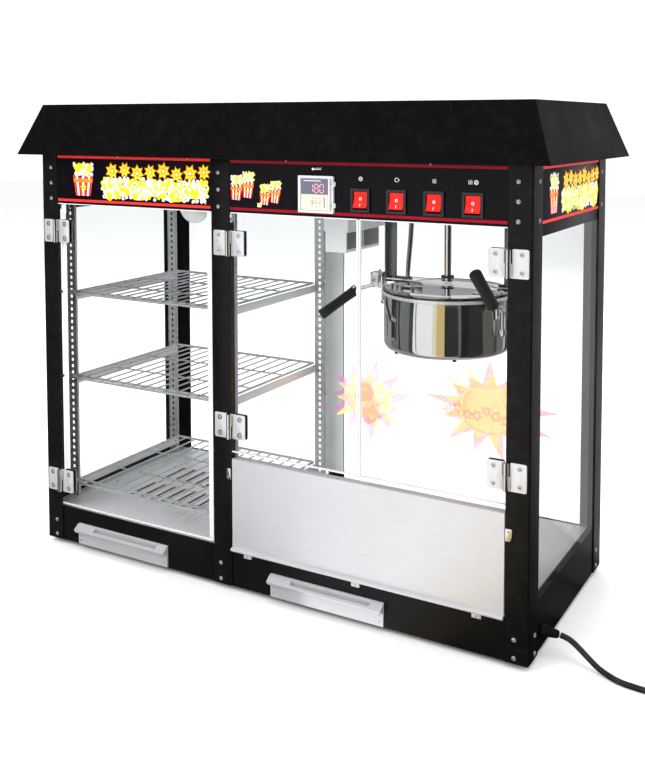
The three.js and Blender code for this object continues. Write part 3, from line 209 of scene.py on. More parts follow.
def brushed(name, tint, rough, direction, strength=0.1, metallic=1.0):
    """Rolled or brushed steel with long scratches along one axis, and faint handling marks."""
    stretch = [1.0 if axis == direction else 60.0 for axis in "xyz"]
    m = Shader(name)
    lines = m.noise(14, 6, 0.7, stretch)
    marks = m.noise(7, 5, 0.6, distortion=0.6)
    shade = m.colours(lines, (0.3, [c * 0.86 for c in tint]), (0.7, tint))
    m.set(colour=shade, metallic=metallic)
    both = m.math("ADD", m.span(lines, -0.05, 0.07, 0.35, 0.65),
                  m.span(marks, rough[0], rough[1], 0.35, 0.65))
    m.set(rough=both)
    return m.bump(lines, strength, 0.0003).material


def mirror_steel(name, tint, rough=(0.05, 0.14), fine_step=0.04):
    """Polished steel with polishing haze, fine rings and a few finger marks."""
    m = Shader(name)
    haze = m.noise(12, 5, 0.6, distortion=0.4)
    fine = m.noise(30, 4, 0.6, (1.0, 1.0, 24.0))
    shade = m.colours(haze, (0.3, [c * 0.93 for c in tint]), (0.7, tint))
    m.set(colour=shade, metallic=1.0)
    m.set(rough=m.math("ADD", m.span(haze, rough[0], rough[1], 0.35, 0.7), m.span(fine, 0.0, fine_step)))
    return m.bump(fine, 0.25 * fine_step, 0.0003).material


def zinc_plate(name, tint):
    """Zinc-plated or galvanised steel with soft spangle."""
    m = Shader(name)
    spangle = m.cells(160)
    split = m.node("ShaderNodeSeparateColor")
    m.link(spangle, split.inputs[0])
    grain = split.outputs[0]
    cloud = m.noise(25, 4)
    mixed = m.math("ADD", m.math("MULTIPLY", grain, 0.4), m.math("MULTIPLY", cloud, 0.6))
    m.set(colour=m.colours(mixed, (0.2, [c * 0.8 for c in tint]), (0.8, tint)), metallic=0.75)
    m.set(rough=m.span(mixed, 0.24, 0.44, 0.2, 0.8))
    return m.bump(cloud, 0.05, 0.0004).material


def moulded(name, tint, rough=0.45, grain=700, strength=0.15, **extra):
    """Moulded plastic or paint: tiny spark-eroded grain and uneven gloss."""
    m = Shader(name)
    fine = m.noise(grain, 3, 0.5)
    cloud = m.noise(20, 4)
    m.set(colour=m.colours(cloud, (0.3, [c * 0.88 for c in tint]), (0.7, tint)))
    m.set(rough=m.span(cloud, rough * 0.85, rough * 1.15, 0.3, 0.7))
    m.set(**extra)
    return m.bump(fine, strength, 0.0004).material


def printed(name, inner, outer=None, rough=0.3):
    """Screen-printed ink, a little uneven in colour and gloss."""
    m = Shader(name)
    cloud = m.noise(45, 4)
    m.set(colour=m.colours(cloud, (0.35, outer or [c * 0.9 for c in inner]), (0.65, inner)))
    m.set(rough=m.span(cloud, rough - 0.05, rough + 0.08), specular=0.15)
    return m.bump(m.noise(1200, 2), 0.04, 0.0002).material


def pane_glass(name, tint=(0.99, 0.997, 0.995), haze=0.006):
    """Flat window glass: clear through, mirrors more at a slant, with faint smears."""
    m = Shader(name)
    facing = m.node("ShaderNodeLayerWeight")
    facing.inputs["Blend"].default_value = 0.5
    slant = m.math("POWER", facing.outputs["Facing"], 5.0)
    share = m.math("ADD", m.math("MULTIPLY", slant, 0.85), 0.008)
    smear = m.noise(6, 5, 0.6, (1.0, 1.0, 0.4), 1.2)
    m.set(colour=(0.95, 0.97, 0.97), metallic=1.0)
    m.set(rough=m.span(smear, 0.0, 0.07, 0.45, 0.75))
    clear = m.node("ShaderNodeBsdfTransparent")
    clear.inputs["Color"].default_value = (*tint, 1)
    mix = m.node("ShaderNodeMixShader")
    dusty = m.math("ADD", share, m.span(smear, 0.0, haze, 0.5, 0.75))
    m.link(dusty, mix.inputs[0])
    m.link(clear.outputs[0], mix.inputs[1])
    m.link(m.bsdf.outputs[0], mix.inputs[2])
    m.link(mix.outputs[0], m.tree.nodes["Material Output"].inputs["Surface"])
    return m.material


def glowing(name, tint, strength):
    m = Shader(name)
    cloud = m.noise(300, 2)
    m.set(colour=[c * 0.4 for c in tint], rough=m.span(cloud, 0.25, 0.4))
    m.set(glow=tint, power=strength)
    return m.material


def rubber_skin(name, tint):
    """Cable sheath: soft sheen with fine drawn lines and dust."""
    m = Shader(name)
    cloud = m.noise(70, 5, 0.6)
    fine = m.noise(900, 3)
    m.set(colour=m.colours(cloud, (0.35, tint), (0.75, [c + 0.02 for c in tint])))
    m.set(rough=m.span(cloud, 0.42, 0.62, 0.3, 0.7), specular=0.4)
    return m.bump(fine, 0.15, 0.0003).material


BLACK = powder_coat("black_powder_coat", (0.0012, 0.0012, 0.0014), (0.006, 0.006, 0.0066), 0.22)
ROOF_BLACK = powder_coat("roof_powder_coat", (0.0012, 0.0012, 0.0014), (0.004, 0.004, 0.0045), 0.08,
                         (0.42, 0.56))
FASCIA = powder_coat("fascia_film", (0.0012, 0.0008, 0.0016), (0.004, 0.003, 0.005), 0.14, (0.2, 0.3))
SATIN = brushed("satin_stainless", (0.74, 0.74, 0.77), (0.34, 0.44), "x", 0.05, 0.6)
BRUSHED = brushed("brushed_stainless", (0.62, 0.62, 0.64), (0.26, 0.38), "x", 0.15)
BRUSHED_Y = brushed("brushed_deck", (0.78, 0.78, 0.80), (0.28, 0.4), "y", 0.08, 0.45)
POLISHED = mirror_steel("polished_steel", (0.82, 0.81, 0.80), (0.02, 0.05), 0.01)
HINGE_STEEL = brushed("hinge_steel", (0.76, 0.76, 0.79), (0.26, 0.36), "z", 0.04, 0.55)
CHROME = mirror_steel("chrome_plate", (0.88, 0.89, 0.91), (0.06, 0.18))
ZINC = zinc_plate("zinc_plate", (0.66, 0.67, 0.69))
WIRE = zinc_plate("plated_wire", (0.72, 0.73, 0.75))
GLASS = pane_glass("pane_glass")
EDGE_GLASS = moulded("polished_glass_edge", (0.75, 0.77, 0.78), 0.2, 300, 0.05, coat=0.4)
FROSTED = moulded("opal_glass", (0.93, 0.92, 0.88), 0.25, 200, 0.04, coat=0.5)
WHITE_PAINT = moulded("white_enamel", (0.86, 0.87, 0.88), 0.35, 500, 0.08, coat=0.2)
# This dark grey is real paint and print on the lamp trim and controller, and painted shade in the cross slots of
# the screws.
DARK_PAINT_AND_SHADE = moulded("grey_enamel_and_painted_shade", (0.15, 0.15, 0.165), 0.35, 500, 0.08)
GREY_PLASTIC = moulded("grey_moulding", (0.46, 0.48, 0.42), 0.4)
RED_PLASTIC = moulded("red_moulding", (0.80, 0.008, 0.003), 0.3, 400, 0.05, specular=0.3)
BLACK_PLASTIC = moulded("black_moulding", (0.005, 0.005, 0.006), 0.42, 800, 0.25, specular=0.3)
GLOSS_BLACK = moulded("gloss_black_moulding", (0.008, 0.008, 0.009), 0.16, 500, 0.05)
RUBBER = moulded("foot_rubber", (0.018, 0.018, 0.018), 0.75, 500, 0.4)
CORD_SKIN = rubber_skin("cord_sheath", (0.008, 0.008, 0.009))
BRASS = zinc_plate("plated_pin", (0.78, 0.74, 0.62))
INK_WHITE = printed("ink_white", (0.85, 0.85, 0.83))
INK_RED = printed("ink_red", (0.82, 0.03, 0.025))
INK_CRIMSON = printed("ink_crimson", (0.27, 0.001, 0.012))
INK_YELLOW = printed("ink_yellow", (0.84, 0.76, 0.01), (0.86, 0.70, 0.02))
INK_ORANGE = printed("ink_orange", (0.80, 0.16, 0.01), (0.88, 0.30, 0.02))
INK_CREAM = printed("ink_cream", (0.90, 0.84, 0.52), (0.92, 0.78, 0.30))


# ---------------------------------------------------------------- mesh building
class Part:
    """Collects solids in one mesh. Each call adds one closed shape and may name a material."""

    def __init__(self, *materials):
        self.mesh = bmesh.new()
        self.materials = list(materials)

    def _paint(self, faces, material):
        if material is None:
            return
        if material not in self.materials:
            self.materials.append(material)
        for face in faces:
            face.material_index = self.materials.index(material)

    def _add(self, verts, faces, material=None):
        made = [self.mesh.verts.new(v) for v in verts]
        self._paint([self.mesh.faces.new([made[i] for i in face]) for face in faces], material)
        return made

    def box(self, low, high, bevel=0.0, material=None, segments=2):
        """A box between two corners with rounded edges."""
        low, high = Vector(map(min, low, high)), Vector(map(max, low, high))
        before = set(self.mesh.faces)
        found = bmesh.ops.create_cube(self.mesh, size=1.0)["verts"]
        for v in found:
            v.co = (low + high) / 2 + Vector(a * b for a, b in zip(v.co, high - low))
        if bevel:
            bevel = min(bevel, min(high - low) * 0.45)
            edges = list(dict.fromkeys(e for v in found for e in v.link_edges))
            bmesh.ops.bevel(self.mesh, geom=edges, offset=bevel, segments=segments, affect="EDGES",
                            profile=0.5)
        self._paint([f for f in self.mesh.faces if f not in before], material)
        return self

    def prism(self, outline, frame, depth, bevel=0.0, material=None):
        """An outline of (u, v) points drawn out along the frame's third axis."""
        before = set(self.mesh.faces)
        low = [self.mesh.verts.new(frame @ Vector((u, v, 0))) for u, v in outline]
        high = [self.mesh.verts.new(frame @ Vector((u, v, depth))) for u, v in outline]
        count = len(outline)
        self.mesh.faces.new(list(reversed(low)))
        self.mesh.faces.new(high)
        for i in range(count):
            j = (i + 1) % count
            self.mesh.faces.new([low[i], low[j], high[j], high[i]])
        if bevel:
            ends = (set(low), set(high))
            rim = [e for v in low + high for e in v.link_edges if any(end.issuperset(e.verts)
                                                                      for end in ends)]
            rim = list(dict.fromkeys(rim))
            bmesh.ops.bevel(self.mesh, geom=rim, offset=bevel, segments=2, affect="EDGES", profile=0.5)
        self._paint([f for f in self.mesh.faces if f not in before], material)
        return self

    def lathe(self, profile, frame, segments=32, material=None):
        """A profile of (radius, height) points turned round the frame's third axis."""
        rings, faces, verts = [], [], []
        for r, h in profile:
            if r < 1e-7:
                rings.append([len(verts)])
                verts.append(frame @ Vector((0, 0, h)))
                continue
            rings.append(list(range(len(verts), len(verts) + segments)))
            for i in range(segments):
                turn = 2 * math.pi * i / segments
                verts.append(frame @ Vector((r * math.cos(turn), r * math.sin(turn), h)))
        for a, b in zip(rings, rings[1:]):
            for i in range(segments):
                j = (i + 1) % segments
                corners = [a[i % len(a)], a[j % len(a)], b[j % len(b)], b[i % len(b)]]
                face = list(dict.fromkeys(corners))
                if len(face) > 2:
                    faces.append(face)
        self._add(verts, faces, material)
        return self

    def plate(self, us, vs, holes, frame, depth, material=None):
        """A flat sheet on a grid of u and v lines, open in the cells (i, j) where holes(i, j) is true."""
        cells = [(i, j) for i in range(len(us) - 1) for j in range(len(vs) - 1) if not holes(i, j)]
        solid, made, faces = set(cells), {}, []

        def corner(i, j, top):
            if (i, j, top) not in made:
                made[i, j, top] = self.mesh.verts.new(frame @ Vector((us[i], vs[j], depth * top)))
            return made[i, j, top]

        for i, j in cells:
            square = [(i, j), (i + 1, j), (i + 1, j + 1), (i, j + 1)]
            faces.append([corner(*c, 1) for c in square])
            faces.append([corner(*c, 0) for c in reversed(square)])
            for k, (a, b) in enumerate(((0, -1), (1, 0), (0, 1), (-1, 0))):
                if (i + a, j + b) not in solid:
                    p, q = square[k], square[(k + 1) % 4]
                    faces.append([corner(*p, 0), corner(*q, 0), corner(*q, 1), corner(*p, 1)])
        self._paint([self.mesh.faces.new(face) for face in faces], material)
        return self

    def ring(self, profile, frame, segments=48, material=None):
        """A closed profile of (radius, height) points turned round, as a ring with a hole."""
        return self.lathe([*profile, profile[0]], frame, segments, material)

    def tube(self, points, radius, sides=12, material=None, swell=None):
        """A round bar along points, with domed ends; swell(share) scales its radius."""
        points = [Vector(p) for p in points]
        frames, up = [], None
        for i, point in enumerate(points):
            ahead = (points[min(i + 1, len(points) - 1)] - points[max(i - 1, 0)]).normalized()
            if up is None:
                up = ahead.orthogonal().normalized()
            up = (up - up.dot(ahead) * ahead).normalized()
            frames.append((point, up.copy(), ahead.cross(up), ahead))
        verts, faces = [], []
        for i, (point, side, other, _) in enumerate(frames):
            r = radius * (swell(i / (len(points) - 1)) if swell else 1.0)
            for k in range(sides):
                turn = 2 * math.pi * k / sides
                verts.append(point + r * (math.cos(turn) * side + math.sin(turn) * other))
        for i in range(len(points) - 1):
            for k in range(sides):
                a, b = i * sides + k, i * sides + (k + 1) % sides
                faces.append([a, b, b + sides, a + sides])
        for end, (point, _, _, ahead), sign in ((0, frames[0], -1), (len(points) - 1, frames[-1], 1)):
            tip = len(verts)
            r = radius * (swell(end / (len(points) - 1)) if swell else 1.0)
            verts.append(point + sign * 0.35 * r * ahead)
            for k in range(sides):
                a, b = end * sides + k, end * sides + (k + 1) % sides
                faces.append([b, a, tip] if sign < 0 else [a, b, tip])
        self._add(verts, faces, material)
        return self

    def make(self, name, body, replaces=(), smooth=40):
        """The finished piece, riding on its CAD body."""
        bmesh.ops.remove_doubles(self.mesh, verts=self.mesh.verts, dist=1e-7)
        bmesh.ops.recalc_face_normals(self.mesh, faces=self.mesh.faces)
        data = bpy.data.meshes.new(name)
        self.mesh.to_mesh(data)
        self.mesh.free()
        for material in self.materials:
            data.materials.append(material)
        data.polygons.foreach_set("use_smooth", [True] * len(data.polygons))
        data.set_sharp_from_angle(angle=math.radians(smooth))
        piece = bpy.data.objects.new(name, data)
        bpy.context.scene.collection.objects.link(piece)
        if body:
            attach(piece, body)
        if replaces:
            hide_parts(*replaces)
        return piece


def frame_at(origin, u, v):
    """A frame with its first two axes along u and v."""
    u, v = Vector(u).normalized(), Vector(v).normalized()
    w = u.cross(v)
    made = Matrix.Identity(4)
    for column, axis in enumerate((u, v, w)):
        for row in range(3):
            made[row][column] = axis[row]
    made.translation = Vector(origin)
    return made


def facing_front(x, y, z):
    """u to the right, v up, depth towards the viewer in front."""
    return frame_at((x, y, z), (1, 0, 0), (0, 0, 1))


def facing_side(x, y, z, side):
    """u along the side seen from outside, v up, depth outwards; side is 1 on the right, -1 on the left."""
    return frame_at((x, y, z), (0, side, 0), (0, 0, 1))


def facing_up(x, y, z):
    return frame_at((x, y, z), (1, 0, 0), (0, 1, 0))


def rounded(width, height, radius, corner_points=4):
    """A rounded rectangle outline about the origin."""
    points = []
    for k, (sx, sy) in enumerate(((1, 1), (-1, 1), (-1, -1), (1, -1))):
        for i in range(corner_points + 1):
            turn = math.pi / 2 * (k + i / corner_points)
            points.append((
                sx * (width / 2 - radius) + radius * math.cos(turn),
                sy * (height / 2 - radius) + radius * math.sin(turn),
            ))
    return points


def star(count, outer, inner, turn=0.0, wobble=None):
    points = []
    for i in range(2 * count):
        r = outer if i % 2 == 0 else inner
        if wobble and i % 2 == 0:
            r *= wobble.uniform(0.75, 1.15)
        angle = turn + math.pi * i / count
        points.append((r * math.cos(angle), r * math.sin(angle)))
    return points


def arc(radius, turns):
    return [(radius * math.cos(t), radius * math.sin(t)) for t in turns]


def disc(radius, count=18):
    return arc(radius, [2 * math.pi * i / count for i in range(count)])


def scaled(profile):
    return [(r * MM, h * MM) for r, h in profile]


# ---------------------------------------------------------------- places from the frame
REAR_LOW, REAR_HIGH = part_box("post_rear_left")
BACK, FRONT = REAR_HIGH.y, -REAR_HIGH.y
LEFT, RIGHT = REAR_LOW.x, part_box("post_rear_right")[1].x
BASE_LOW, POST_TOP = REAR_LOW.z, REAR_HIGH.z
POST_FACE = REAR_HIGH.x - LEFT
POST_SIDE = BACK - REAR_LOW.y
MIDDLE = (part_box("post_rear_middle")[0].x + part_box("post_rear_middle")[1].x) / 2
FASCIA_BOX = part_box("fascia_left")
PANEL_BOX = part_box("control_panel")
PANEL_FACE = FASCIA_BOX[0].y
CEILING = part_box("header_housing")[0].z
LID_LOW, LID_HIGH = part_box("kettle_lid_front")
KETTLE_X = (LID_LOW.x + LID_HIGH.x) / 2
HANGER_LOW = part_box("kettle_hanger")[0]
SHEET = 1.5 * MM
INK = 0.15 * MM  # thickness of a printed shape
LAYER = 0.04 * MM  # how much each ink stands over the one below
FASCIA_SEED, GLASS_SEED = 11, 5
WORLD_WHITE = 1.2
FLOOR_HALF = 9.0


# ---------------------------------------------------------------- cord, from gland to plug
CORD_RADIUS = 4 * MM
CORD_ROUTE = [
    (0.477, -0.125, 0.0338),
    (0.490, -0.126, 0.031),
    (0.504, -0.129, 0.024),
    (0.519, -0.133, 0.015),
    (0.534, -0.138, 0.0076),
    (0.550, -0.144, 0.0043),
    (0.566, -0.151, 0.0041),
    (0.585, -0.154, 0.0041),
    (0.608, -0.155, 0.0041),
    (0.632, -0.154, 0.0041),
]
COIL_LOW, COIL_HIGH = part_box("cord_coil")
COIL_MIDDLE = (COIL_LOW + COIL_HIGH) / 2
COIL_OUTER = (COIL_HIGH.x - COIL_LOW.x) / 2 - CORD_RADIUS - 0.3 * MM
COIL_PITCH = 2 * CORD_RADIUS
COIL_TURNS = 4
COIL_STEPS = 28  # points in one turn
GLAND_LOW, GLAND_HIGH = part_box("cable_gland")
GLAND_Y = (GLAND_LOW.y + GLAND_HIGH.y) / 2
GLAND_Z = (GLAND_LOW.z + GLAND_HIGH.z) / 2
PLUG_LOW, PLUG_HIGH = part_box("plug")
PLUG_X = (PLUG_LOW.x + PLUG_HIGH.x) / 2


def coil_points():
    """Two turns inwards on the floor, a climb, and two turns outwards on top of them."""
    points = []
    total = COIL_TURNS * COIL_STEPS + COIL_STEPS // 4
    half = COIL_TURNS / 2
    for i in range(total + 1):
        turns = i / COIL_STEPS
        inwards = min(turns, half) - max(0.0, turns - half)
        radius = COIL_OUTER - COIL_PITCH * max(0.0, inwards)
        climb = min(1.0, max(0.0, (turns - half + 0.15) / 0.3))
        lift = COIL_PITCH * climb * climb * (3 - 2 * climb)
        angle = 2 * math.pi * turns - math.pi / 2
        points.append((
            COIL_MIDDLE.x + radius * math.cos(angle),
            COIL_MIDDLE.y + radius * math.sin(angle),
            CORD_RADIUS + 0.1 * MM + lift,
        ))
    return points


def smooth_curve(points, name, radius, resolution=4):
    data = bpy.data.curves.new(name, "CURVE")
    data.dimensions = "3D"
    data.bevel_depth = radius
    data.bevel_resolution = 4
    data.use_fill_caps = True
    spline = data.splines.new("BEZIER")
    spline.bezier_points.add(len(points) - 1)
    for knot, point in zip(spline.bezier_points, points):
        knot.co = point
        knot.handle_left_type = knot.handle_right_type = "AUTO"
    spline.resolution_u = resolution
    piece = bpy.data.objects.new(name, data)
    bpy.context.scene.collection.objects.link(piece)
    return piece


def make_plug():
    """Moulded plug lying on the floor, cord at the -Y end and flat pins at the +Y end."""
    part = Part(BLACK_PLASTIC)
    x, y, z = PLUG_X, PLUG_LOW.y, PLUG_LOW.z
    part.box((x - 14.8 * MM, y + 18 * MM, z), (x + 14.8 * MM, y + 44 * MM, z + 25.7 * MM), 5 * MM, None, 4)
    part.box((x - 9 * MM, y + 9 * MM, z + 2 * MM), (x + 9 * MM, y + 21 * MM, z + 20 * MM), 4 * MM, None, 3)
    for i in range(4):  # finger ribs on both wide faces
        rib = y + (23 + 4.4 * i) * MM
        part.box((x - 11 * MM, rib, z + 25 * MM), (x + 11 * MM, rib + 1.8 * MM, z + 26 * MM), 0.4 * MM)
    neck = [(x, y + (11 - i) * MM, z + (11 - 0.2 * i) * MM) for i in range(12)]
    part.tube(neck, 5.6 * MM, 20, None, lambda s: 1 - 0.25 * s + (0.06 if int(s * 11) % 2 else 0))
    for dx, dz, high in ((-8, 8, 1.8), (8, 8, 1.8), (0, 17, 4.0)):
        low = (x + (dx - 3.1) * MM, y + 43 * MM, z + dz * MM)
        part.box(low, (x + (dx + 3.1) * MM, y + 60.8 * MM, z + (dz + high) * MM), 0.6 * MM, BRASS)
    return part.make("mains_plug", "cabinet", ["plug"])


def make_gland():
    """Clamping nut on the side wall and a tapered, ribbed strain relief round the cord."""
    part = Part(BLACK_PLASTIC)
    place = frame_at((GLAND_LOW.x, GLAND_Y, GLAND_Z), (0, 1, 0), (0, 0, 1))
    length = GLAND_HIGH.x - GLAND_LOW.x
    outer = (GLAND_HIGH.y - GLAND_LOW.y) / 2
    part.prism(disc(outer, 6), place, 6 * MM)
    ribs = 7
    profile = [(0, 5 * MM), (7.6 * MM, 5 * MM)]
    for i in range(ribs):
        share = i / ribs
        radius = (7.4 - 1.9 * share) * MM
        start = 6 * MM + (length - 7 * MM) * share
        step = (length - 7 * MM) / ribs
        profile += [(radius, start), (radius, start + 0.62 * step), (radius - 0.9 * MM, start + 0.7 * step),
                    (radius - 0.9 * MM, start + 0.95 * step)]
    profile += [(4.9 * MM, length - 0.6 * MM), (4.2 * MM, length), (0, length)]
    part.lathe(profile, place, 28)
    return part.make("strain_relief", "cabinet", ["cable_gland"], 50)


def make_cord():
    neck = (PLUG_X, PLUG_LOW.y, PLUG_LOW.z + 9 * MM)
    leave = [(PLUG_X - 0.6 * MM, PLUG_LOW.y - 12 * MM, 0.0108), neck]
    cord = smooth_curve([*CORD_ROUTE, *coil_points()[1:], *leave], "mains_cord", CORD_RADIUS)
    cord.data.materials.append(CORD_SKIN)
    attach(cord, "cabinet")
    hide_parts("power_cord", "cord_coil")
    plug, gland = make_plug(), make_gland()


make_cord()

# ---------------------------------------------------------------- fasteners
def screw(part, place, radius, head=ZINC, high=None):
    """A pan-head screw whose cross slot is a thin dark-grey shape on the dome, painted shade standing in for the
    recess; place's third axis points out of the head.
    """
    high = high or 0.55 * radius
    dome = [(radius * math.cos(t), high * math.sin(t)) for t in (0, 0.4, 0.8, 1.15)]
    part.lathe([(0, -0.1 * MM), (radius, -0.1 * MM), *dome, (0, high)], place, 16, head)
    # painted shade: the slot is a flat dark cross on the dome, not a cut recess
    for turn in (0.4, 0.4 + math.pi / 2):
        slot = place @ Matrix.Rotation(turn, 4, "Z")
        part.prism(rounded(1.1 * radius, 0.2 * radius, 0.09 * radius, 2), slot @ Matrix.Translation(
            (0, 0, 0.9 * high)), 0.12 * high, 0, DARK_PAINT_AND_SHADE)


def acorn_nut(part, place, radius, material=CHROME):
    part.prism(disc(radius, 6), place, 0.7 * radius, 0, material)
    cap = [(0.8 * radius * math.cos(t), 0.7 * radius + 0.7 * radius * math.sin(t)) for t in (0, 0.5, 1.0)]
    part.lathe([(0, 0.5 * radius), (0.8 * radius, 0.5 * radius), *cap, (0, 1.4 * radius)], place, 20,
               material)


# ---------------------------------------------------------------- posts, with their screws and fixed hinge leaves
POST_SCREWS = [BASE_LOW + h * MM for h in (8, 34, 612, 639, 666)]
FLANGE_SCREWS = [BASE_LOW + h * MM for h in (8, 34, 612, 666)]
POST_SCREW_RADIUS = 3.4 * MM
WEB_LOW = 84.5 * MM  # foot of the folded webs behind the middle posts
COVER_LOW = 86 * MM  # foot of the strip behind the back glass
HINGE_LENGTH = 40 * MM
HINGE_AXIS_OUT = 4.6 * MM  # knuckle axis in front of the posts
HINGE_PLATE = 1.7 * MM
KNUCKLE = 4 * MM
LEAF_FROM, LEAF_TO = 5 * MM, 29 * MM


def folded_section(face, side, bend=2.2 * MM):
    """L-shaped section of a folded post: the corner at (0, 0), the face along u, the flange along v."""
    turns = [math.pi + math.pi / 2 * i / 4 for i in range(5)]
    outer = [(bend + u, bend + v) for u, v in arc(bend, turns)]
    inner = [(bend + u, bend + v) for u, v in arc(bend - SHEET, turns)]
    return [(face, 0), (face, SHEET), *reversed(inner), (SHEET, side), (0, side), *outer]


def corner_post(name, x, y, toward_x, toward_y, node):
    part = Part(BLACK)
    section = [(x + u * toward_x, y + v * toward_y) for u, v in folded_section(POST_FACE, POST_SIDE)]
    part.prism(section, Matrix.Translation((0, 0, BASE_LOW)), POST_TOP - BASE_LOW)
    outward_y = -toward_y
    for z in POST_SCREWS:
        face = frame_at((x + toward_x * 21 * MM, y, z), (-outward_y, 0, 0), (0, 0, 1))
        screw(part, face, POST_SCREW_RADIUS)
    for z in FLANGE_SCREWS:
        side = frame_at((x, y + toward_y * 26.5 * MM, z), (0, -toward_x, 0), (0, 0, 1))
        screw(part, side, POST_SCREW_RADIUS)
    part.make(name, "cabinet", [node])


def middle_post(name, y, toward_y, node):
    part = Part(BLACK)
    low, high = MIDDLE - POST_FACE / 2, MIDDLE + POST_FACE / 2
    part.box((low, y, BASE_LOW), (high, y + toward_y * SHEET, POST_TOP), 0.3 * MM)
    box_low, box_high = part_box(node)
    depth = box_high.y - box_low.y if toward_y < 0 else box_high.y - FRONT
    for x in (low + SHEET, high - 2 * SHEET):
        part.box((x, y + toward_y * 0.3 * MM, WEB_LOW), (x + SHEET, y + toward_y * depth,
                                                         CEILING - 14.5 * MM))
    for z in POST_SCREWS:
        screw(part, frame_at((MIDDLE - 4.5 * MM, y, z), (toward_y, 0, 0), (0, 0, 1)), POST_SCREW_RADIUS)
    part.make(name, "cabinet", [node])


corner_post("front_post_left", LEFT, FRONT, 1, 1, "post_front_left")
corner_post("front_post_right", RIGHT, FRONT, -1, 1, "post_front_right")
corner_post("rear_post_left", LEFT, BACK, 1, -1, "post_rear_left")
corner_post("rear_post_right", RIGHT, BACK, -1, -1, "post_rear_right")
middle_post("front_post_middle", FRONT, 1, "post_front_middle")
middle_post("rear_post_middle", BACK, -1, "post_rear_middle")


def rear_cover():
    """The pale strip behind the back glass that hides the middle post from inside."""
    part = Part(WHITE_PAINT)
    glass_back, glass_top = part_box("back_glass")[1].y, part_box("back_glass")[1].z
    half = POST_FACE / 2 - 1 * MM
    part.box((MIDDLE - half, glass_back + 0.4 * MM, COVER_LOW),
             (MIDDLE + half + 7 * MM, glass_back + 1.6 * MM, glass_top), 0.3 * MM)
    part.make("rear_cover_strip", "cabinet")


rear_cover()

HINGES = {}
for side in ("left", "centre", "right"):
    for level in ("lower", "upper"):
        node = f"hinge_leaf_{side}_{level}"
        low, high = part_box(node)
        reach = 1 if side != "right" else -1
        axis_x = (low.x + KNUCKLE) if reach > 0 else (high.x - KNUCKLE)
        HINGES[side, level] = (axis_x, (low.z + high.z) / 2, reach, node)


def hinge_half(part, axis_x, z, toward, low, high, plate_low):
    """One leaf and its knuckle; toward is the X direction of the leaf from the knuckle axis."""
    y = FRONT - plate_low
    outline = rounded(LEAF_TO - LEAF_FROM, HINGE_LENGTH, 2.5 * MM)
    middle = axis_x + toward * (LEAF_FROM + LEAF_TO) / 2
    part.prism(outline, facing_front(middle, y, z), HINGE_PLATE, 0.3 * MM)
    bridge_from, bridge_to = axis_x, axis_x + toward * (LEAF_FROM + 1.5 * MM)
    part.box((bridge_from, y - HINGE_PLATE, z + low), (bridge_to, y, z + high), 0.2 * MM)
    knuckle = frame_at((axis_x, FRONT - HINGE_AXIS_OUT, z + low), (1, 0, 0), (0, 1, 0))
    length = high - low
    edge = 0.5 * MM
    profile = [(0, 0), (KNUCKLE - edge, 0), (KNUCKLE, edge), (KNUCKLE, length - edge),
               (KNUCKLE - edge, length),
               (0, length)]
    part.lathe(profile, knuckle, 24, CHROME)
    for dz in (-12.5 * MM, 12.5 * MM):
        place = facing_front(middle + toward * 2 * MM, y - HINGE_PLATE, z + dz)
        part.ring([(2.6 * MM, 0), (4.4 * MM, 0), (4.2 * MM, 0.25 * MM), (2.8 * MM, 0.25 * MM)], place, 20,
                  CHROME)
        screw(part, place, 3.1 * MM, ZINC, 1.2 * MM)


for (side, level), (axis_x, z, reach, node) in HINGES.items():
    half = HINGE_LENGTH / 2
    fixed = Part(HINGE_STEEL)
    hinge_half(fixed, axis_x, z, -reach, -half, -0.15 * MM, 0.0)
    fixed.make(f"hinge_fixed_{side}_{level}", "cabinet")
    moving = Part(HINGE_STEEL)
    hinge_half(moving, axis_x, z, reach, 0.15 * MM, half, -0.1 * MM)
    moving.make(f"hinge_moving_{side}_{level}", f"door_{side}", [node])


# ---------------------------------------------------------------- glass
def strip(part, low, high, material=None):
    part.box(low, high, 0.25 * MM, material)


def glass_doors():
    """The panes with ground edges and pull strips, and the hinge backing plates."""
    for side, inward in (("left", -1), ("centre", -1), ("right", 1)):
        low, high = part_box(f"door_glass_{side}")
        held, free = (low.x, high.x) if inward < 0 else (high.x, low.x)
        part = Part(EDGE_GLASS)
        proud = 0.25 * MM
        edge = 2.2 * MM
        wide = 12 * MM  # pull strip on the left door's free edge
        back = high.y
        strip(part, (free - inward * 0.1 * MM, low.y - proud, low.z),
              (free + inward * edge, back + proud, high.z))
        if side == "left":
            strip(part, (free + inward * edge, back - 0.1 * MM, low.z),
                  (free + inward * wide, back + 0.5 * MM, high.z))
            for z0, z1 in ((low.z + 66 * MM, high.z - 66 * MM), (high.z - 18 * MM, high.z)):
                strip(part, (held + 3 * MM, back - 0.1 * MM, z0), (held + 14 * MM, back + 0.5 * MM, z1))
        strip(part, (min(held, free), low.y - proud, high.z - 1.4 * MM),
              (max(held, free), back + proud, high.z))
        strip(part, (min(held, free), low.y - proud, low.z),
              (max(held, free), back + proud, low.z + 1.4 * MM))
        part.make(f"door_edges_{side}", f"door_{side}")
        clamps = Part(CHROME, GLOSS_BLACK)
        leaf = rounded(LEAF_TO - LEAF_FROM, HINGE_LENGTH, 2.5 * MM)
        for level in ("lower", "upper"):
            axis_x, z, reach, _ = HINGES[side, level]
            middle = axis_x + reach * (LEAF_FROM + LEAF_TO) / 2
            place = frame_at((middle, back + 0.05 * MM, z), (-1, 0, 0), (0, 0, 1))
            clamps.prism(leaf, place, 0.8 * MM, 0, GLOSS_BLACK)
            clamps.prism(leaf, place @ Matrix.Translation(
                (0, 0, 0.8 * MM)), 1.4 * MM, 0.3 * MM, CHROME)
        clamps.make(f"hinge_backing_{side}", f"door_{side}")


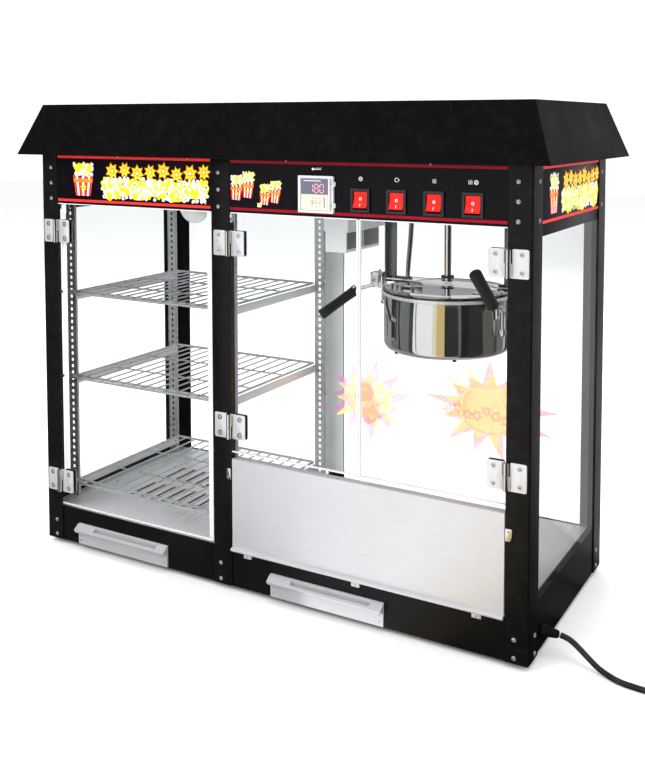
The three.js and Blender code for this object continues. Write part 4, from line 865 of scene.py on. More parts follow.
def edge_seals():
    """Ground edges of the fixed panes, seen end on, and the dark seals that hold them."""
    part = Part(EDGE_GLASS, GLOSS_BLACK)
    low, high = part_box("partition_glass")
    strip(part, (low.x - 0.2 * MM, low.y - 0.1 * MM, low.z), (high.x + 0.2 * MM, low.y + 1.6 * MM, high.z),
          EDGE_GLASS)
    for side, outward in (("left", -1), ("right", 1)):
        low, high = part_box(f"side_glass_{side}")
        inner = low.x if outward > 0 else high.x
        for z0, z1 in ((low.z, low.z + 5 * MM), (high.z - 5 * MM, high.z)):
            strip(part, (inner, low.y, z0), (inner - outward * 2.5 * MM, high.y, z1), GLOSS_BLACK)
    part.make("pane_seals", "cabinet", (), 30)


glass_doors()
edge_seals()


# ---------------------------------------------------------------- base, drawers, floor and flap
def soften(node, width, segments=2, angle=35):
    """Rounds the CAD node's sharp edges without touching its mesh."""
    bevel = NODES[node].modifiers.new("soft_edges", "BEVEL")
    bevel.width = width
    bevel.segments = segments
    bevel.limit_method = "ANGLE"
    bevel.angle_limit = math.radians(angle)
    bevel.use_clamp_overlap = True


def finish_node(node, material):
    piece = NODES[node]
    if not piece.material_slots:
        piece.data.materials.append(None)
    piece.material_slots[0].material = material


FEET = ("foot_front_left", "foot_front_right", "foot_rear_left", "foot_rear_right")


def base_details():
    """Rails along the base, retainers under the flap and screws through the feet."""
    part = Part(BLACK, ZINC, SATIN)
    flap_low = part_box("front_flap")[0]
    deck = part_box("base_housing")[1].z
    for x in (-14, 181, 374):
        x *= MM
        part.box((x - 7 * MM, FRONT - 1.6 * MM, flap_low.z - 7.5 * MM),
                 (x + 7 * MM, FRONT + 1.5 * MM, flap_low.z - 0.4 * MM), 0.5 * MM, SATIN)
        screw(part, facing_front(x, FRONT - 1.6 * MM, flap_low.z - 4.2 * MM), 1.5 * MM)
    for side, inner in ((LEFT, 1), (RIGHT, -1)):
        part.box((side + inner * 1.9 * MM, FRONT + POST_SIDE, deck - 0.1 * MM),
                 (side + inner * 5.9 * MM, BACK - POST_SIDE, deck + 1.2 * MM), 0.4 * MM, BLACK)
    for node in FEET:
        low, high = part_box(node)
        middle = (low + high) / 2
        part.lathe([(0, 0), (7 * MM, 0), (6.5 * MM, 1.6 * MM), (0, 1.6 * MM)],
                   facing_up(middle.x, middle.y, high.z + 0.3 * MM + SHEET), 20, ZINC)
    part.make("base_fittings", "cabinet")


def drawer_details(side):
    """Front plate trims: rolled grip, end caps and a pair of rivets on each end of the handle."""
    low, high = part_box(f"drawer_{side}")
    part = Part(SATIN, DARK_PAINT_AND_SHADE)
    top = low.z + 36 * MM
    x0, x1 = low.x, high.x
    lip = FRONT - 13 * MM
    part.tube([(x0 + 1 * MM, lip + 0.6 * MM, top - 8.4 * MM), (x1 - 1 * MM, lip + 0.6 * MM, top - 8.4 * MM)],
              1.15 * MM, 12, SATIN)
    for x, turn in ((x0, -1), (x1, 1)):
        outline = [(-2 * MM, top), (-12.6 * MM, top - 8 * MM), (-10.8 * MM, top - 12.6 * MM),
                   (-2 * MM, top - 14.4 * MM)]
        place = frame_at((x - (0.8 * MM if turn < 0 else 0), FRONT, 0), (0, 1, 0), (0, 0, 1))
        part.prism(outline, place, 0.8 * MM, 0, SATIN)
        for z in (top - 19 * MM, top - 29 * MM):
            screw(part, facing_front(x - turn * 6 * MM, FRONT - 2 * MM, z), 1.7 * MM, ZINC)
    part.make(f"drawer_trim_{side}", f"drawer_{side}")


def flap_details():
    """Folded ends, a pull lip and the two spring latches that hold the flap shut."""
    low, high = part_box("front_flap")
    part = Part(SATIN, CHROME)
    for x in (low.x, high.x - SHEET):
        part.box((x, FRONT + 1.5 * MM, low.z + 8 * MM), (x + SHEET, FRONT + 13 * MM, high.z - 1.4 * MM),
                 0.3 * MM)
    part.box((low.x, FRONT + 0.05 * MM, high.z - 0.9 * MM), (high.x, FRONT + 14 * MM, high.z + 0.25 * MM),
             0.4 * MM)
    part.make("flap_folds", "flap")
    latches = Part(CHROME, ZINC)
    for x0, x1, z0 in ((415.2, 425.5, 179), (-53.5, -46, 183)):
        latches.box((x0 * MM, FRONT - 1.4 * MM, z0 * MM), (x1 * MM, FRONT, (z0 + 18) * MM), 0.6 * MM, CHROME)
        middle = (x0 + x1) / 2 * MM
        for dz in (4.5, 13.5):
            screw(latches, facing_front(middle, FRONT - 1.4 * MM, (z0 + dz) * MM), 1.7 * MM, ZINC)
    latches.make("flap_latches", "cabinet")


base_details()
for side in ("left", "right"):
    drawer_details(side)
    finish_node(f"drawer_{side}", SATIN)
    finish_node(f"floor_plate_{side}", BRUSHED_Y)
    soften(f"drawer_{side}", 0.5 * MM)
flap_details()
soften("roof", 0.9 * MM, 3)
for node in FEET:
    finish_node(node, RUBBER)
    soften(node, 0.8 * MM)
for node in ("side_glass_left", "side_glass_right", "back_glass", "partition_glass", "door_glass_left",
             "door_glass_centre", "door_glass_right"):
    finish_node(node, GLASS)
for node, material in (("front_flap", SATIN), ("base_housing", BLACK), ("header_housing", BLACK),
                       ("roof", ROOF_BLACK), ("drive_motor", ZINC), ("heating_element", BRUSHED), ("agitator",
                                                                                                   BRUSHED),
                       ("fascia_left", FASCIA), ("control_panel", FASCIA), ("cabinet_lamp", WHITE_PAINT)):
    finish_node(node, material)


# ---------------------------------------------------------------- shelves
def shelf_frame(side):
    """Two slotted uprights, and at each shelf a folded rail with its fixing screws."""
    low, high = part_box(f"shelf_frame_{side}")
    part = Part(ZINC)
    rows = 2 * int((high.z - low.z) / (11.5 * MM)) + 1
    vs = [low.z + (high.z - low.z) * i / rows for i in range(rows + 1)]
    us = [low.x, low.x + 8 * MM, high.x - 8 * MM, high.x]
    for y in (low.y, high.y - 3 * MM):
        place = frame_at((0, y + SHEET, 0), (1, 0, 0), (0, 0, 1))
        part.plate(us, vs, lambda i, j: i == 1 and j % 2 == 1, place, SHEET, ZINC)
        for edge in (low.x, high.x - 1.2 * MM):
            part.box((edge, y, low.z), (edge + 1.2 * MM, y + 5 * MM, high.z), 0.3 * MM, ZINC)
    wall = high.x - 3 * MM if side == "left" else low.x
    for name in ("lower", "middle", "upper"):
        shelf_low, shelf_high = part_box(f"shelf_{name}")
        top = (shelf_low.z + shelf_high.z) / 2 - 2.5 * MM
        part.box((wall, low.y, top - 14 * MM), (wall + 3 * MM, high.y, top), 0.8 * MM, BRUSHED_Y)
        for y in (low.y + 7 * MM, high.y - 9 * MM):
            out = 1 if side == "left" else -1
            screw(part, facing_side(wall + (3 * MM if out > 0 else 0), y, top - 7 * MM, out), 2.6 * MM)
    part.make(f"shelf_uprights_{side}", "cabinet", [f"shelf_frame_{side}"])


def wire_shelf(name):
    """Round plated wires welded over a rod frame, with the tips bent in."""
    low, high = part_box(name)
    z = (low.z + high.z) / 2
    part = Part(WIRE)
    frame_rod, wire = 2.2 * MM, 1.4 * MM
    x0, x1, y0, y1 = low.x + 2 * MM, high.x - 2 * MM, low.y + 2 * MM, high.y - 2 * MM
    side_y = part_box("shelf_frame_left")[0].y - 3.2 * MM
    in_x0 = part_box("shelf_frame_left")[1].x + 3.2 * MM
    in_x1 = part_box("shelf_frame_right")[0].x - 3.2 * MM
    for y in (y0, side_y):
        part.tube([(x0, y, z), (x1, y, z)], frame_rod, 14)
    part.tube([(in_x0, y1, z), (in_x1, y1, z)], frame_rod, 14)
    for x, end in ((x0, side_y), (x1, side_y), (in_x0, y1), (in_x1, y1)):
        part.tube([(x, y0, z), (x, end, z)], frame_rod, 14)
    wires, lift = 13, 0.9 * MM
    for i in range(1, wires + 1):
        x = in_x0 + (in_x1 - in_x0) * i / (wires + 1)
        part.tube([(x, y0 + 0.2 * MM, z), (x, y0 + 3 * MM, z + lift), (x, y1 - 3 * MM, z + lift), (x, y1, z)],
                  wire, 10)
    for share in (0.33, 0.67):
        y = y0 + (y1 - y0) * share
        part.tube([(in_x0, y, z - 1.2 * MM), (in_x1, y, z - 1.2 * MM)], wire, 10)
    part.make(f"{name}_wires", "cabinet", [name])


for side in ("left", "right"):
    shelf_frame(side)
for name in ("shelf_lower", "shelf_middle", "shelf_upper"):
    wire_shelf(name)


# ---------------------------------------------------------------- fascia prints
def print_on(part, place, outline, dx, dz, material, layer=0):
    """Prints an outline given in millimetres, its origin at (dx, dz) on the place."""
    points = [((x + dx) * MM, (z + dz) * MM) for x, z in outline]
    part.prism(points, place, INK + layer * LAYER, 0, material)


def blob(rng, radius, count=11):
    turns = [2 * math.pi * i / count for i in range(count)]
    return [(r * math.cos(t), r * math.sin(t)) for t, r in ((t, radius * rng.uniform(0.72, 1.2))
                                                            for t in turns)]


def puff_cloud(part, place, rng, x0, x1, z0, z1, size):
    """A heap of popped corn: a yellow heap, then white puffs and yellow crumbs over it."""
    steps = max(8, int((x1 - x0) / (0.9 * size)))
    top = [(x0 + (x1 - x0) * i / steps, z1 - rng.uniform(0, 0.16) * (z1 - z0)) for i in range(steps + 1)]
    low = [(x, z0 + (rng.uniform(0, 0.16) + 0.12 * math.sin(0.09 * x)) * (z1 - z0)) for x, _ in top]
    inset = 0.25 * (z1 - z0)
    top[0], low[0] = (x0, z1 - inset), (x0 + size, z0 + inset)
    top[-1], low[-1] = (x1, z1 - 1.4 * inset), (x1 - size, z0 + 0.8 * inset)
    print_on(part, place, [*low, *reversed(top)], 0, 0, INK_YELLOW)
    rows = max(2, int((z1 - z0) / (0.8 * size)))
    for row in range(rows):
        for column in range(int((x1 - x0) / (1.15 * size))):
            x = x0 + (column + 0.6 + rng.uniform(-0.3, 0.3) + 0.4 * (row % 2)) * 1.15 * size
            z = z0 + (row + 0.55 + rng.uniform(-0.3, 0.3)) * (z1 - z0) / rows
            white = rng.random() < 0.72
            print_on(part, place, blob(rng, 0.47 * size), x, z, INK_WHITE if white else INK_YELLOW,
                     1 if white else 2)
            if rng.random() < 0.4:
                print_on(part, place, blob(rng, 0.17 * size, 7), x, z, INK_CREAM, 3)


def tub(part, place, rng, x, z, wide, high, lean=0.0):
    """A generic striped tub heaped with puffs."""
    half = wide / 2
    cup = [(-0.36 * wide, 0), (0.36 * wide, 0), (half, 0.62 * high), (-half, 0.62 * high)]

    def leaning(points):
        c, s = math.cos(lean), math.sin(lean)
        return [(u * c - v * s, u * s + v * c) for u, v in points]

    def quad(a, b, low, top):
        points = []
        for u, v in ((a, low), (b, low), (b, top), (a, top)):
            grow = (0.72 + 0.28 * v) * half
            points.append((u * grow, v * 0.62 * high))
        return leaning(points)
    print_on(part, place, leaning(cup), x, z, INK_RED)
    for a in (-0.72, -0.1, 0.52):
        print_on(part, place, quad(a, a + 0.22, 0.0, 1.0), x, z, INK_WHITE, 1)
    print_on(part, place, quad(-1, 1, 0.66, 0.84), x, z, INK_ORANGE, 2)
    print_on(part, place, star(7, 0.16 * wide, 0.09 * wide, 0.3),
             x + 0.02 * wide - 0.3 * high * math.sin(lean),
             z + 0.26 * high, INK_YELLOW, 2)
    lift = z + 0.6 * high
    shift = 0.62 * high * math.sin(lean)
    puff_cloud(part, place, rng, x - half - shift, x + half - shift, lift, lift + 0.42 * high, 0.17 * wide)


def spark(part, place, x, z, size, turn, points):
    """A many-pointed star in three inks."""
    print_on(part, place, star(points, size, 0.6 * size, turn), x, z, INK_ORANGE, 1)
    print_on(part, place, star(points, 0.84 * size, 0.5 * size, turn), x, z, INK_YELLOW, 2)
    print_on(part, place, star(points, 0.5 * size, 0.26 * size, turn), x, z, INK_ORANGE, 3)
    print_on(part, place, star(points, 0.26 * size, 0.14 * size, turn), x, z, INK_CREAM, 4)


def fascia_art(part, place, width, rng):
    """Two red lines, a striped tub at the left, and a heap of puffs under a row of stars."""
    for z in (4.2, 79.3):
        print_on(part, place, [(2, -2.1), (width - 2, -2.1), (width - 2, 2.1), (2, 2.1)], 0, z, INK_RED)
    scale = width / 334
    tub(part, place, rng, 61 * scale, 13, 46 * scale, 56)
    puff_cloud(part, place, rng, 101 * scale, 330 * scale, 10, 47, 7.5)
    for i in range(8):
        x = (127 + 27.5 * i) * scale
        spark(part, place, x, 57 + 3 * math.sin(2.1 * i), 15.5 - 1.5 * (i % 2), 0.35 * i, 7 + i % 2)


def fascia_prints():
    rng = random.Random(FASCIA_SEED)
    front = Part(INK_RED)
    low = FASCIA_BOX[0]
    fascia_art(front, facing_front(low.x, PANEL_FACE, low.z), (FASCIA_BOX[1].x - low.x) / MM, rng)
    front.make("fascia_print_left", "cabinet")
    for side in (-1, 1):
        panel = Part(FASCIA)
        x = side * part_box("header_housing")[1].x
        reach = BACK - POST_SIDE - 0.4 * MM
        panel.box((x, -reach, PANEL_BOX[0].z - 17 * MM), (x + side * 0.6 * MM, reach, POST_TOP), 0.1 * MM,
                  FASCIA)
        place = facing_side(x + side * 0.6 * MM, -side * reach, PANEL_BOX[0].z - 2 * MM, side)
        fascia_art(panel, place, 2 * reach / MM, rng)
        panel.make(f"fascia_side_{'left' if side < 0 else 'right'}", "cabinet")
    panel = Part(INK_RED)
    low, high = PANEL_BOX[0].copy(), PANEL_BOX[1]
    low.z = FASCIA_BOX[0].z
    place = facing_front(low.x, PANEL_FACE, low.z)
    width = (high.x - low.x) / MM
    for z in (4.0, 78.0):
        print_on(panel, place, [(1, -2.1), (width - 1, -2.1), (width - 1, 2.1), (1, 2.1)], 0, z, INK_CRIMSON)
    tub(panel, place, rng, 12, 18, 23, 38, -0.06)
    tub(panel, place, rng, 33.5, 22, 22, 40, -0.08)
    tub(panel, place, rng, 65, 12.5, 20, 31, -0.1)
    tub(panel, place, rng, 83.5, 16, 19, 33, -0.13)
    puff_cloud(panel, place, rng, 52, 61, 8.5, 15, 3.2)
    panel.make("fascia_print_right", "cabinet")


def switch_symbols():
    """Small generic signs over the switches: lamp, turning arrow, heat, and heat with lamp."""
    part = Part(INK_WHITE)
    base = PANEL_BOX[0]

    def ring_shape(x, z, radius, thick):
        part.ring([(radius - thick, 0), (radius, 0), (radius, INK), (radius - thick, INK)],
                  facing_front(x, PANEL_FACE, z), 24, INK_WHITE)

    def bar(x, z, long, thick, turn):
        spot = facing_front(x, PANEL_FACE, z) @ Matrix.Rotation(turn, 4, "Z")
        part.prism(rounded(long, thick, 0.45 * thick, 2), spot, INK, 0, INK_WHITE)

    def lamp(x, z):
        ring_shape(x, z, 3.2 * MM, 0.7 * MM)
        for turn in (math.pi / 4, -math.pi / 4):
            bar(x, z, 5.2 * MM, 0.6 * MM, turn)

    def arrow(x, z):
        turns = [math.radians(a) for a in range(20, 320, 20)]
        outer, inner = arc(3.2 * MM, turns), arc(2.5 * MM, reversed(turns))
        spot = facing_front(x, PANEL_FACE, z)
        part.prism([*outer, *inner], spot, INK, 0, INK_WHITE)
        head = [(1.6 * MM, 0.6 * MM), (4.2 * MM, 0.6 * MM), (2.9 * MM, -1.5 * MM)]
        part.prism(head, spot @ Matrix.Translation((0.2 * MM, -0.2 * MM, 0)), INK + LAYER, 0, INK_WHITE)

    def heat(x, z):
        for dx in (-2.2, 0, 2.2):
            wave = [((dx + 0.55 * math.sin(2.2 * v)) * MM, v * MM) for v in [i * 0.5 - 3 for i in range(13)]]
            thick = [(u + 0.6 * MM, v) for u, v in reversed(wave)]
            part.prism([*wave, *thick], facing_front(x, PANEL_FACE, z), INK, 0, INK_WHITE)

    z = base.z + 57 * MM
    lamp(ROCKER_X[0], z)
    arrow(ROCKER_X[1], z)
    heat(ROCKER_X[2], z)
    heat(ROCKER_X[3] - 4.5 * MM, z)
    lamp(ROCKER_X[3] + 4.5 * MM, z)
    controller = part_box("temperature_controller")
    middle = (controller[0].x + controller[1].x) / 2
    top = controller[1].z + 9.5 * MM
    bar(middle, top, 14 * MM, 1.5 * MM, 0)
    part.prism(disc(2.1 * MM), facing_front(middle - 7 * MM, PANEL_FACE, top), INK + LAYER, 0, INK_WHITE)
    for i in range(6):
        bar(middle - 2 * MM + i * 1.9 * MM, top + 1.9 * MM, 1.3 * MM, 0.4 * MM, math.pi / 2)
    part.make("switch_symbols", "cabinet")


def eave_screws():
    part = Part(ZINC)
    for x in (-275, -128, 60, 300):
        screw(part, facing_front(x * MM, PANEL_FACE, FASCIA_BOX[1].z - 1.9 * MM), 1.7 * MM)
    part.make("eave_screws", "cabinet")


ROCKER_X = [(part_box(f"rocker_{i}")[0].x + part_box(f"rocker_{i}")[1].x) / 2 for i in (1, 2, 3, 4)]
fascia_prints()
switch_symbols()
eave_screws()


# ---------------------------------------------------------------- switches and controller
ROCKER_REST = math.radians(-8)


def rocker(index):
    """A rocker with a dished face, rounded ends, and O and I marks; behind it a gloss frame."""
    joint = next(j for j in frame["record"]["behaviour"]["joints"] if j["name"] == f"rocker_{index}_tilt")
    pivot = Matrix.Translation(joint["pos_m"]) @ Matrix.Rotation(ROCKER_REST, 4, "X")
    half, wide = 11.9, 21.8
    face = [(-4.7 - 2.2 * (i / 6) ** 2, half * i / 6) for i in range(-6, 7)]
    outline = [*face, (-6.0, half + 0.1), (4, half - 2.4), (5.8, half - 3.4), (5.8, -half + 3.4),
               (4, -half + 2.4),
               (-6.0, -half - 0.1)]
    outline = [(y * MM, z * MM) for y, z in outline]
    place = pivot @ frame_at((-wide / 2 * MM, 0, 0), (0, 1, 0), (0, 0, 1))
    part = Part(RED_PLASTIC)
    part.prism(outline, place, wide * MM, 0.5 * MM)
    for z, outline in ((1.6, None), (-7.6, rounded(0.9 * MM, 4.4 * MM, 0.3 * MM, 2))):
        lean = math.atan(2 * 2.2 * z / half ** 2)
        mark = pivot @ facing_front(0, -(4.75 + 2.2 * (z / half) ** 2) * MM, z * MM) @ Matrix.Rotation(lean,
                                                                                                       4, "X")
        if outline:
            part.prism(outline, mark, 0.3 * MM, 0, INK_WHITE)
        else:
            part.ring(scaled([(1.4, 0), (2.2, 0), (2.2, 0.3), (1.4, 0.3)]), mark, 20, INK_WHITE)
    part.make(f"rocker_cap_{index}", f"rocker_{index}", [f"rocker_{index}"])
    centre = joint["pos_m"]
    bezel = Part(GLOSS_BLACK)
    us = [v * MM for v in (-15.6, -11.75, 11.75, 15.6)]
    vs = [v * MM for v in (-17.4, -13.55, 13.55, 17.4)]
    bezel.plate(us, vs, lambda i, j: i == 1 and j == 1, facing_front(centre[0], PANEL_FACE - 2.1 * MM,
                                                                     centre[2]),
                0.9 * MM)
    bezel.make(f"rocker_frame_{index}", "cabinet")


SEGMENTS = {"a": (0, 2, 1), "b": (1, 1, 0), "c": (1, -1, 0), "d": (0, -2, 1), "e": (-1, -1, 0),
            "f": (-1, 1, 0),
            "g": (0, 0, 1)}
DIGITS = {"1": "bc", "8": "abcdefg", "0": "abcdef", "2": "abged"}


def digit(part, place, x, z, high, sign, material):
    """A seven-segment digit."""
    wide, thick = 0.5 * high, 0.13 * high
    for name in DIGITS[sign]:
        dx, dz, flat = SEGMENTS[name]
        long = (wide if flat else high / 2) - 0.8 * thick
        outline = rounded(long, thick, 0.45 * thick, 2)
        spot = place @ Matrix.Translation((x + dx * wide / 2, z + dz * high / 4, 0))
        if not flat:
            spot = spot @ Matrix.Rotation(math.pi / 2, 4, "Z")
        part.prism(outline, spot, 0.2 * MM, 0, material)


def controller():
    """Grey framed controller: display, printed push-wheel field and mounting tabs."""
    low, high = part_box("temperature_controller")
    middle = (low + high) / 2
    deep = PANEL_FACE - low.y
    place = facing_front(middle.x, PANEL_FACE, middle.z)

    def at(x, z, depth):
        return place @ Matrix.Translation((x * MM, z * MM, depth))
    part = Part(GREY_PLASTIC)
    part.prism(rounded(60.4 * MM, 55.4 * MM, 2 * MM), place, deep - 1.6 * MM, 0.4 * MM, CASE_GREY)
    us = [v * MM for v in (-30.2, -26.4, 22.2, 24.4, 28.4, 30.2)]
    vs = [v * MM for v in (-27.7, -24.2, 24.2, 27.7)]
    part.plate(us, vs, lambda i, j: i in (1, 3) and j == 1, at(0, 0, deep - 1.7 * MM), 1.5 * MM, CASE_EDGE)
    part.box((low.x + 5 * MM, PANEL_FACE - 0.2 * MM, low.z + 5 * MM),
             (high.x - 5 * MM, PANEL_FACE + 44 * MM, high.z - 5 * MM), 1.5 * MM, BLACK_PLASTIC)
    part.prism(rounded(46 * MM, 23 * MM, 1 * MM), at(-2.2, 11.6, deep - 1.65 * MM), 0.3 * MM, 0, DISPLAY_BACK)
    part.prism(rounded(30 * MM, 1.6 * MM, 0.6 * MM), at(-6, 20.2, deep - 1.4 * MM), 0.15 * MM, 0, CASE_EDGE)
    for i, sign in enumerate("180"):
        digit(part, at(0, 0, deep - 1.35 * MM), (-8 + 9.2 * i) * MM, 9 * MM, 12.5 * MM, sign, DIGIT_GLOW)
    part.prism(rounded(46 * MM, 23.4 * MM, 1 * MM), at(-2.2, -12, deep - 1.65 * MM), 0.35 * MM, 0, INK_IVORY)
    for column in range(3):
        for z in (-5.6, -18.4):
            part.prism(rounded(2.8 * MM, 0.8 * MM, 0.2 * MM, 2), at(-5.5 + 6.4 * column, z, deep - 1.3 * MM),
                       0.15 * MM, 0, DARK_PAINT_AND_SHADE)
        digit(part, at(0, 0, deep - 1.3 * MM), (-5.5 + 6.4 * column) * MM, -12 * MM, 5.2 * MM, "802"[column],
              DARK_PAINT_AND_SHADE)
    part.prism(rounded(1.6 * MM, 16 * MM, 0.5 * MM, 2), at(14.8, -12, deep - 1.3 * MM), 0.2 * MM, 0,
               DARK_PAINT_AND_SHADE)
    for z in (16, -16):
        part.prism(rounded(5.6 * MM, 7 * MM, 1.2 * MM), at(29.6, z, 0), 3.4 * MM, 0.3 * MM, CASE_EDGE)
        screw(part, at(27.6, z, deep - 0.2 * MM), 1.5 * MM)
    part.make("controller_case", "cabinet", ["temperature_controller"])


CASE_GREY = moulded("controller_grey", (0.42, 0.42, 0.45), 0.35, 500, 0.06)
CASE_EDGE = moulded("controller_rim", (0.66, 0.65, 0.68), 0.22, 500, 0.05, coat=0.5)
DISPLAY_BACK = moulded("display_window", (0.13, 0.13, 0.18), 0.2, 300, 0.02)
DIGIT_GLOW = glowing("display_digits", (1.0, 0.46, 0.56), 0.55)
INK_IVORY = printed("ink_ivory", (0.66, 0.64, 0.52))
for index in (1, 2, 3, 4):
    rocker(index)
controller()


# ---------------------------------------------------------------- lamps and back-glass print
def lamps():
    low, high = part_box("show_lamp")
    place = facing_up((low.x + high.x) / 2, (low.y + high.y) / 2, high.z) @ Matrix.Rotation(math.pi, 4, "X")
    bulb = Part(FROSTED)
    deep = high.z - low.z
    dome = [(28 * MM * math.cos(t), 9 * MM + (deep - 9 * MM) * math.sin(t))
            for t in [i * 0.157 for i in range(10)]]
    bulb.lathe([(0, 1 * MM), (26 * MM, 1 * MM), (28 * MM, 3 * MM), *dome, (0, deep)], place, 56, FROSTED)
    bulb.ring([(25 * MM, 0), (31 * MM, 0), (31 * MM, 2.2 * MM), (29.5 * MM, 3.4 * MM), (27.6 * MM, 3.4 * MM)],
              place, 56, CHROME)
    for turn in (0.3, 2.4, 4.5):
        spot = place @ Matrix.Rotation(turn, 4, "Z") @ Matrix.Translation((29.3 * MM, 0, 2.6 * MM))
        screw(bulb, spot, 1.5 * MM)
    bulb.make("show_lamp_globe", "cabinet", ["show_lamp"])
    low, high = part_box("cabinet_lamp")
    x0, x1 = low.x + 3 * MM, high.x - 3 * MM
    y0, y1 = low.y, high.y - 18 * MM
    trim = Part(DARK_PAINT_AND_SHADE)
    for side, x in ((1, x1), (-1, x0)):
        for start, end in ((y0 + 3 * MM, -3 * MM), (3 * MM, y1 - 3 * MM)):
            trim.box((x, start, low.z + 5 * MM), (x + side * 0.9 * MM, end, high.z - 36 * MM), 0.3 * MM,
                     DARK_PAINT_AND_SHADE)
    trim.box((x0 + 4 * MM, y0 - 1.2 * MM, high.z - 9 * MM), (x1 - 4 * MM, y0, high.z - 1 * MM), 0.5 * MM,
             WHITE_PAINT)
    for x in (x0 + 9 * MM, x1 - 9 * MM):
        screw(trim, facing_front(x, y0 - 1.2 * MM, high.z - 5 * MM), 1.8 * MM)
    for y in (y0 + 12 * MM, y1 - 12 * MM):
        trim.box((x1 + 3 * MM, y - 7 * MM, high.z - 3.5 * MM), (x1 + 11 * MM, y + 7 * MM, high.z), 0.5 * MM,
                 ZINC)
        screw(trim, facing_up(x1 + 7 * MM, y, high.z - 3.5 * MM) @ Matrix.Rotation(math.pi, 4, "X"), 2 * MM)
    trim.box((x0 + 1.5 * MM, y0 + 1.5 * MM, low.z + 0.5 * MM),
             (x1 - 1.5 * MM, y1 - 1.5 * MM, low.z + 2.5 * MM),
             0.4 * MM, FROSTED)
    trim.make("cabinet_lamp_trim", "cabinet")
    bracket = Part(GLOSS_BLACK)
    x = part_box("partition_glass")[1].x
    bracket.box((x + 1 * MM, -24 * MM, CEILING - 15 * MM), (x + 22 * MM, 22 * MM, CEILING - 0.2 * MM), 2 * MM)
    bracket.box((x + 6 * MM, -46 * MM, CEILING - 8 * MM), (x + 17 * MM, -24 * MM, CEILING - 0.2 * MM), 1 * MM)
    for y in (-38 * MM, 14 * MM):
        screw(bracket, facing_front(x + 11.5 * MM, y - 9 * MM, CEILING - 6 * MM), 1.6 * MM)
    bracket.make("lamp_terminal", "cabinet")


def glass_print():
    """Pale bursts, flames and puffs on the outside of the back glass, right-hand unit, in inks that glow faintly
    as painted backlight.
    """
    rng = random.Random(GLASS_SEED)
    part = Part(PALE_GLOWING_YELLOW)
    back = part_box("back_glass")[1].y
    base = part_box("back_glass")[0].z
    place = frame_at((0, back, base), (-1, 0, 0), (0, 0, 1))

    def burst(x, z, size, count, material, layer, squash=0.75):
        shape = [(u, v * squash) for u, v in star(count, size, 0.54 * size, rng.uniform(0, 1), rng)]
        print_on(part, place, shape, -x, z, material, layer)
    burst(14, 165, 92, 11, PALE_GLOWING_PURPLE, 0)
    burst(14, 165, 82, 11, PALE_GLOWING_YELLOW, 1)
    burst(255, 178, 112, 13, PALE_GLOWING_RED, 0)
    burst(255, 178, 102, 13, PALE_GLOWING_YELLOW, 1)
    for x, z, size in ((-12, 150, 20), (20, 140, 23), (50, 158, 19), (8, 176, 21), (38, 186, 17),
                       (-18, 184, 14)):
        print_on(part, place, blob(rng, size, 13), -x, z, PALE_GLOWING_RED if size > 20 else PALE_GLOWING_WHITE, 2)
        print_on(part, place, blob(rng, 0.55 * size, 11), -x, z, PALE_GLOWING_YELLOW, 3)
    for i in range(9):
        x, z = 178 + 18 * i, 168 + 7 * math.sin(1.9 * i)
        print_on(part, place, star(6, 12, 7, 0.4 * i), -x, z, PALE_GLOWING_RED, 3)
        print_on(part, place, star(6, 6, 3, 0.4 * i), -x, z, PALE_GLOWING_WHITE, 4)
    part.make("back_glass_print", "cabinet")


def pale_glowing_ink(name, tint, share):
    """Thin see-through ink on glass that glows faintly in its own colour: painted light standing in for light
    shining through it from behind.
    """
    m = Shader(name)
    cloud = m.noise(30, 4)
    m.set(colour=m.colours(cloud, (0.3, [c * 0.95 for c in tint]), (0.7, tint)), rough=0.35)
    m.set(alpha=m.span(cloud, share - 0.06, share + 0.06, 0.3, 0.7))
    # painted light: a faint glow in the ink's own colour stands in for backlight coming through the glass
    m.set(glow=tint, power=0.6)
    return m.bump(cloud, 0.03, 0.0002).material


PALE_GLOWING_YELLOW = pale_glowing_ink("pale_glowing_yellow", (0.96, 0.86, 0.30), 0.5)
PALE_GLOWING_RED = pale_glowing_ink("pale_glowing_red", (0.86, 0.22, 0.22), 0.42)
PALE_GLOWING_PURPLE = pale_glowing_ink("pale_glowing_purple", (0.60, 0.30, 0.50), 0.4)
PALE_GLOWING_WHITE = pale_glowing_ink("pale_glowing_white", (0.95, 0.93, 0.88), 0.5)
lamps()
glass_print()


# ---------------------------------------------------------------- kettle, its hanger and drive
AXIS = Matrix.Translation((KETTLE_X, 0, HANGER_LOW.z + 4.8 * MM))
HANGER_STEEL = brushed("hanger_steel", (0.15, 0.15, 0.16), (0.34, 0.44), "z", 0.05, 0.6)


def k(x, y, z):
    """A point given in millimetres from where the tilt axis crosses the drive shaft."""
    return AXIS @ Vector((x * MM, y * MM, z * MM))


def k_frame(x, y, z, u, v):
    return frame_at(k(x, y, z), u, v)


def k_up(x, y, z):
    return k_frame(x, y, z, (1, 0, 0), (0, 1, 0))


def along(start, end):
    """A frame at start whose third axis points at end, and the distance between them."""
    w = (end - start).normalized()
    u = w.orthogonal().normalized()
    return frame_at(start, u, w.cross(u)), (end - start).length


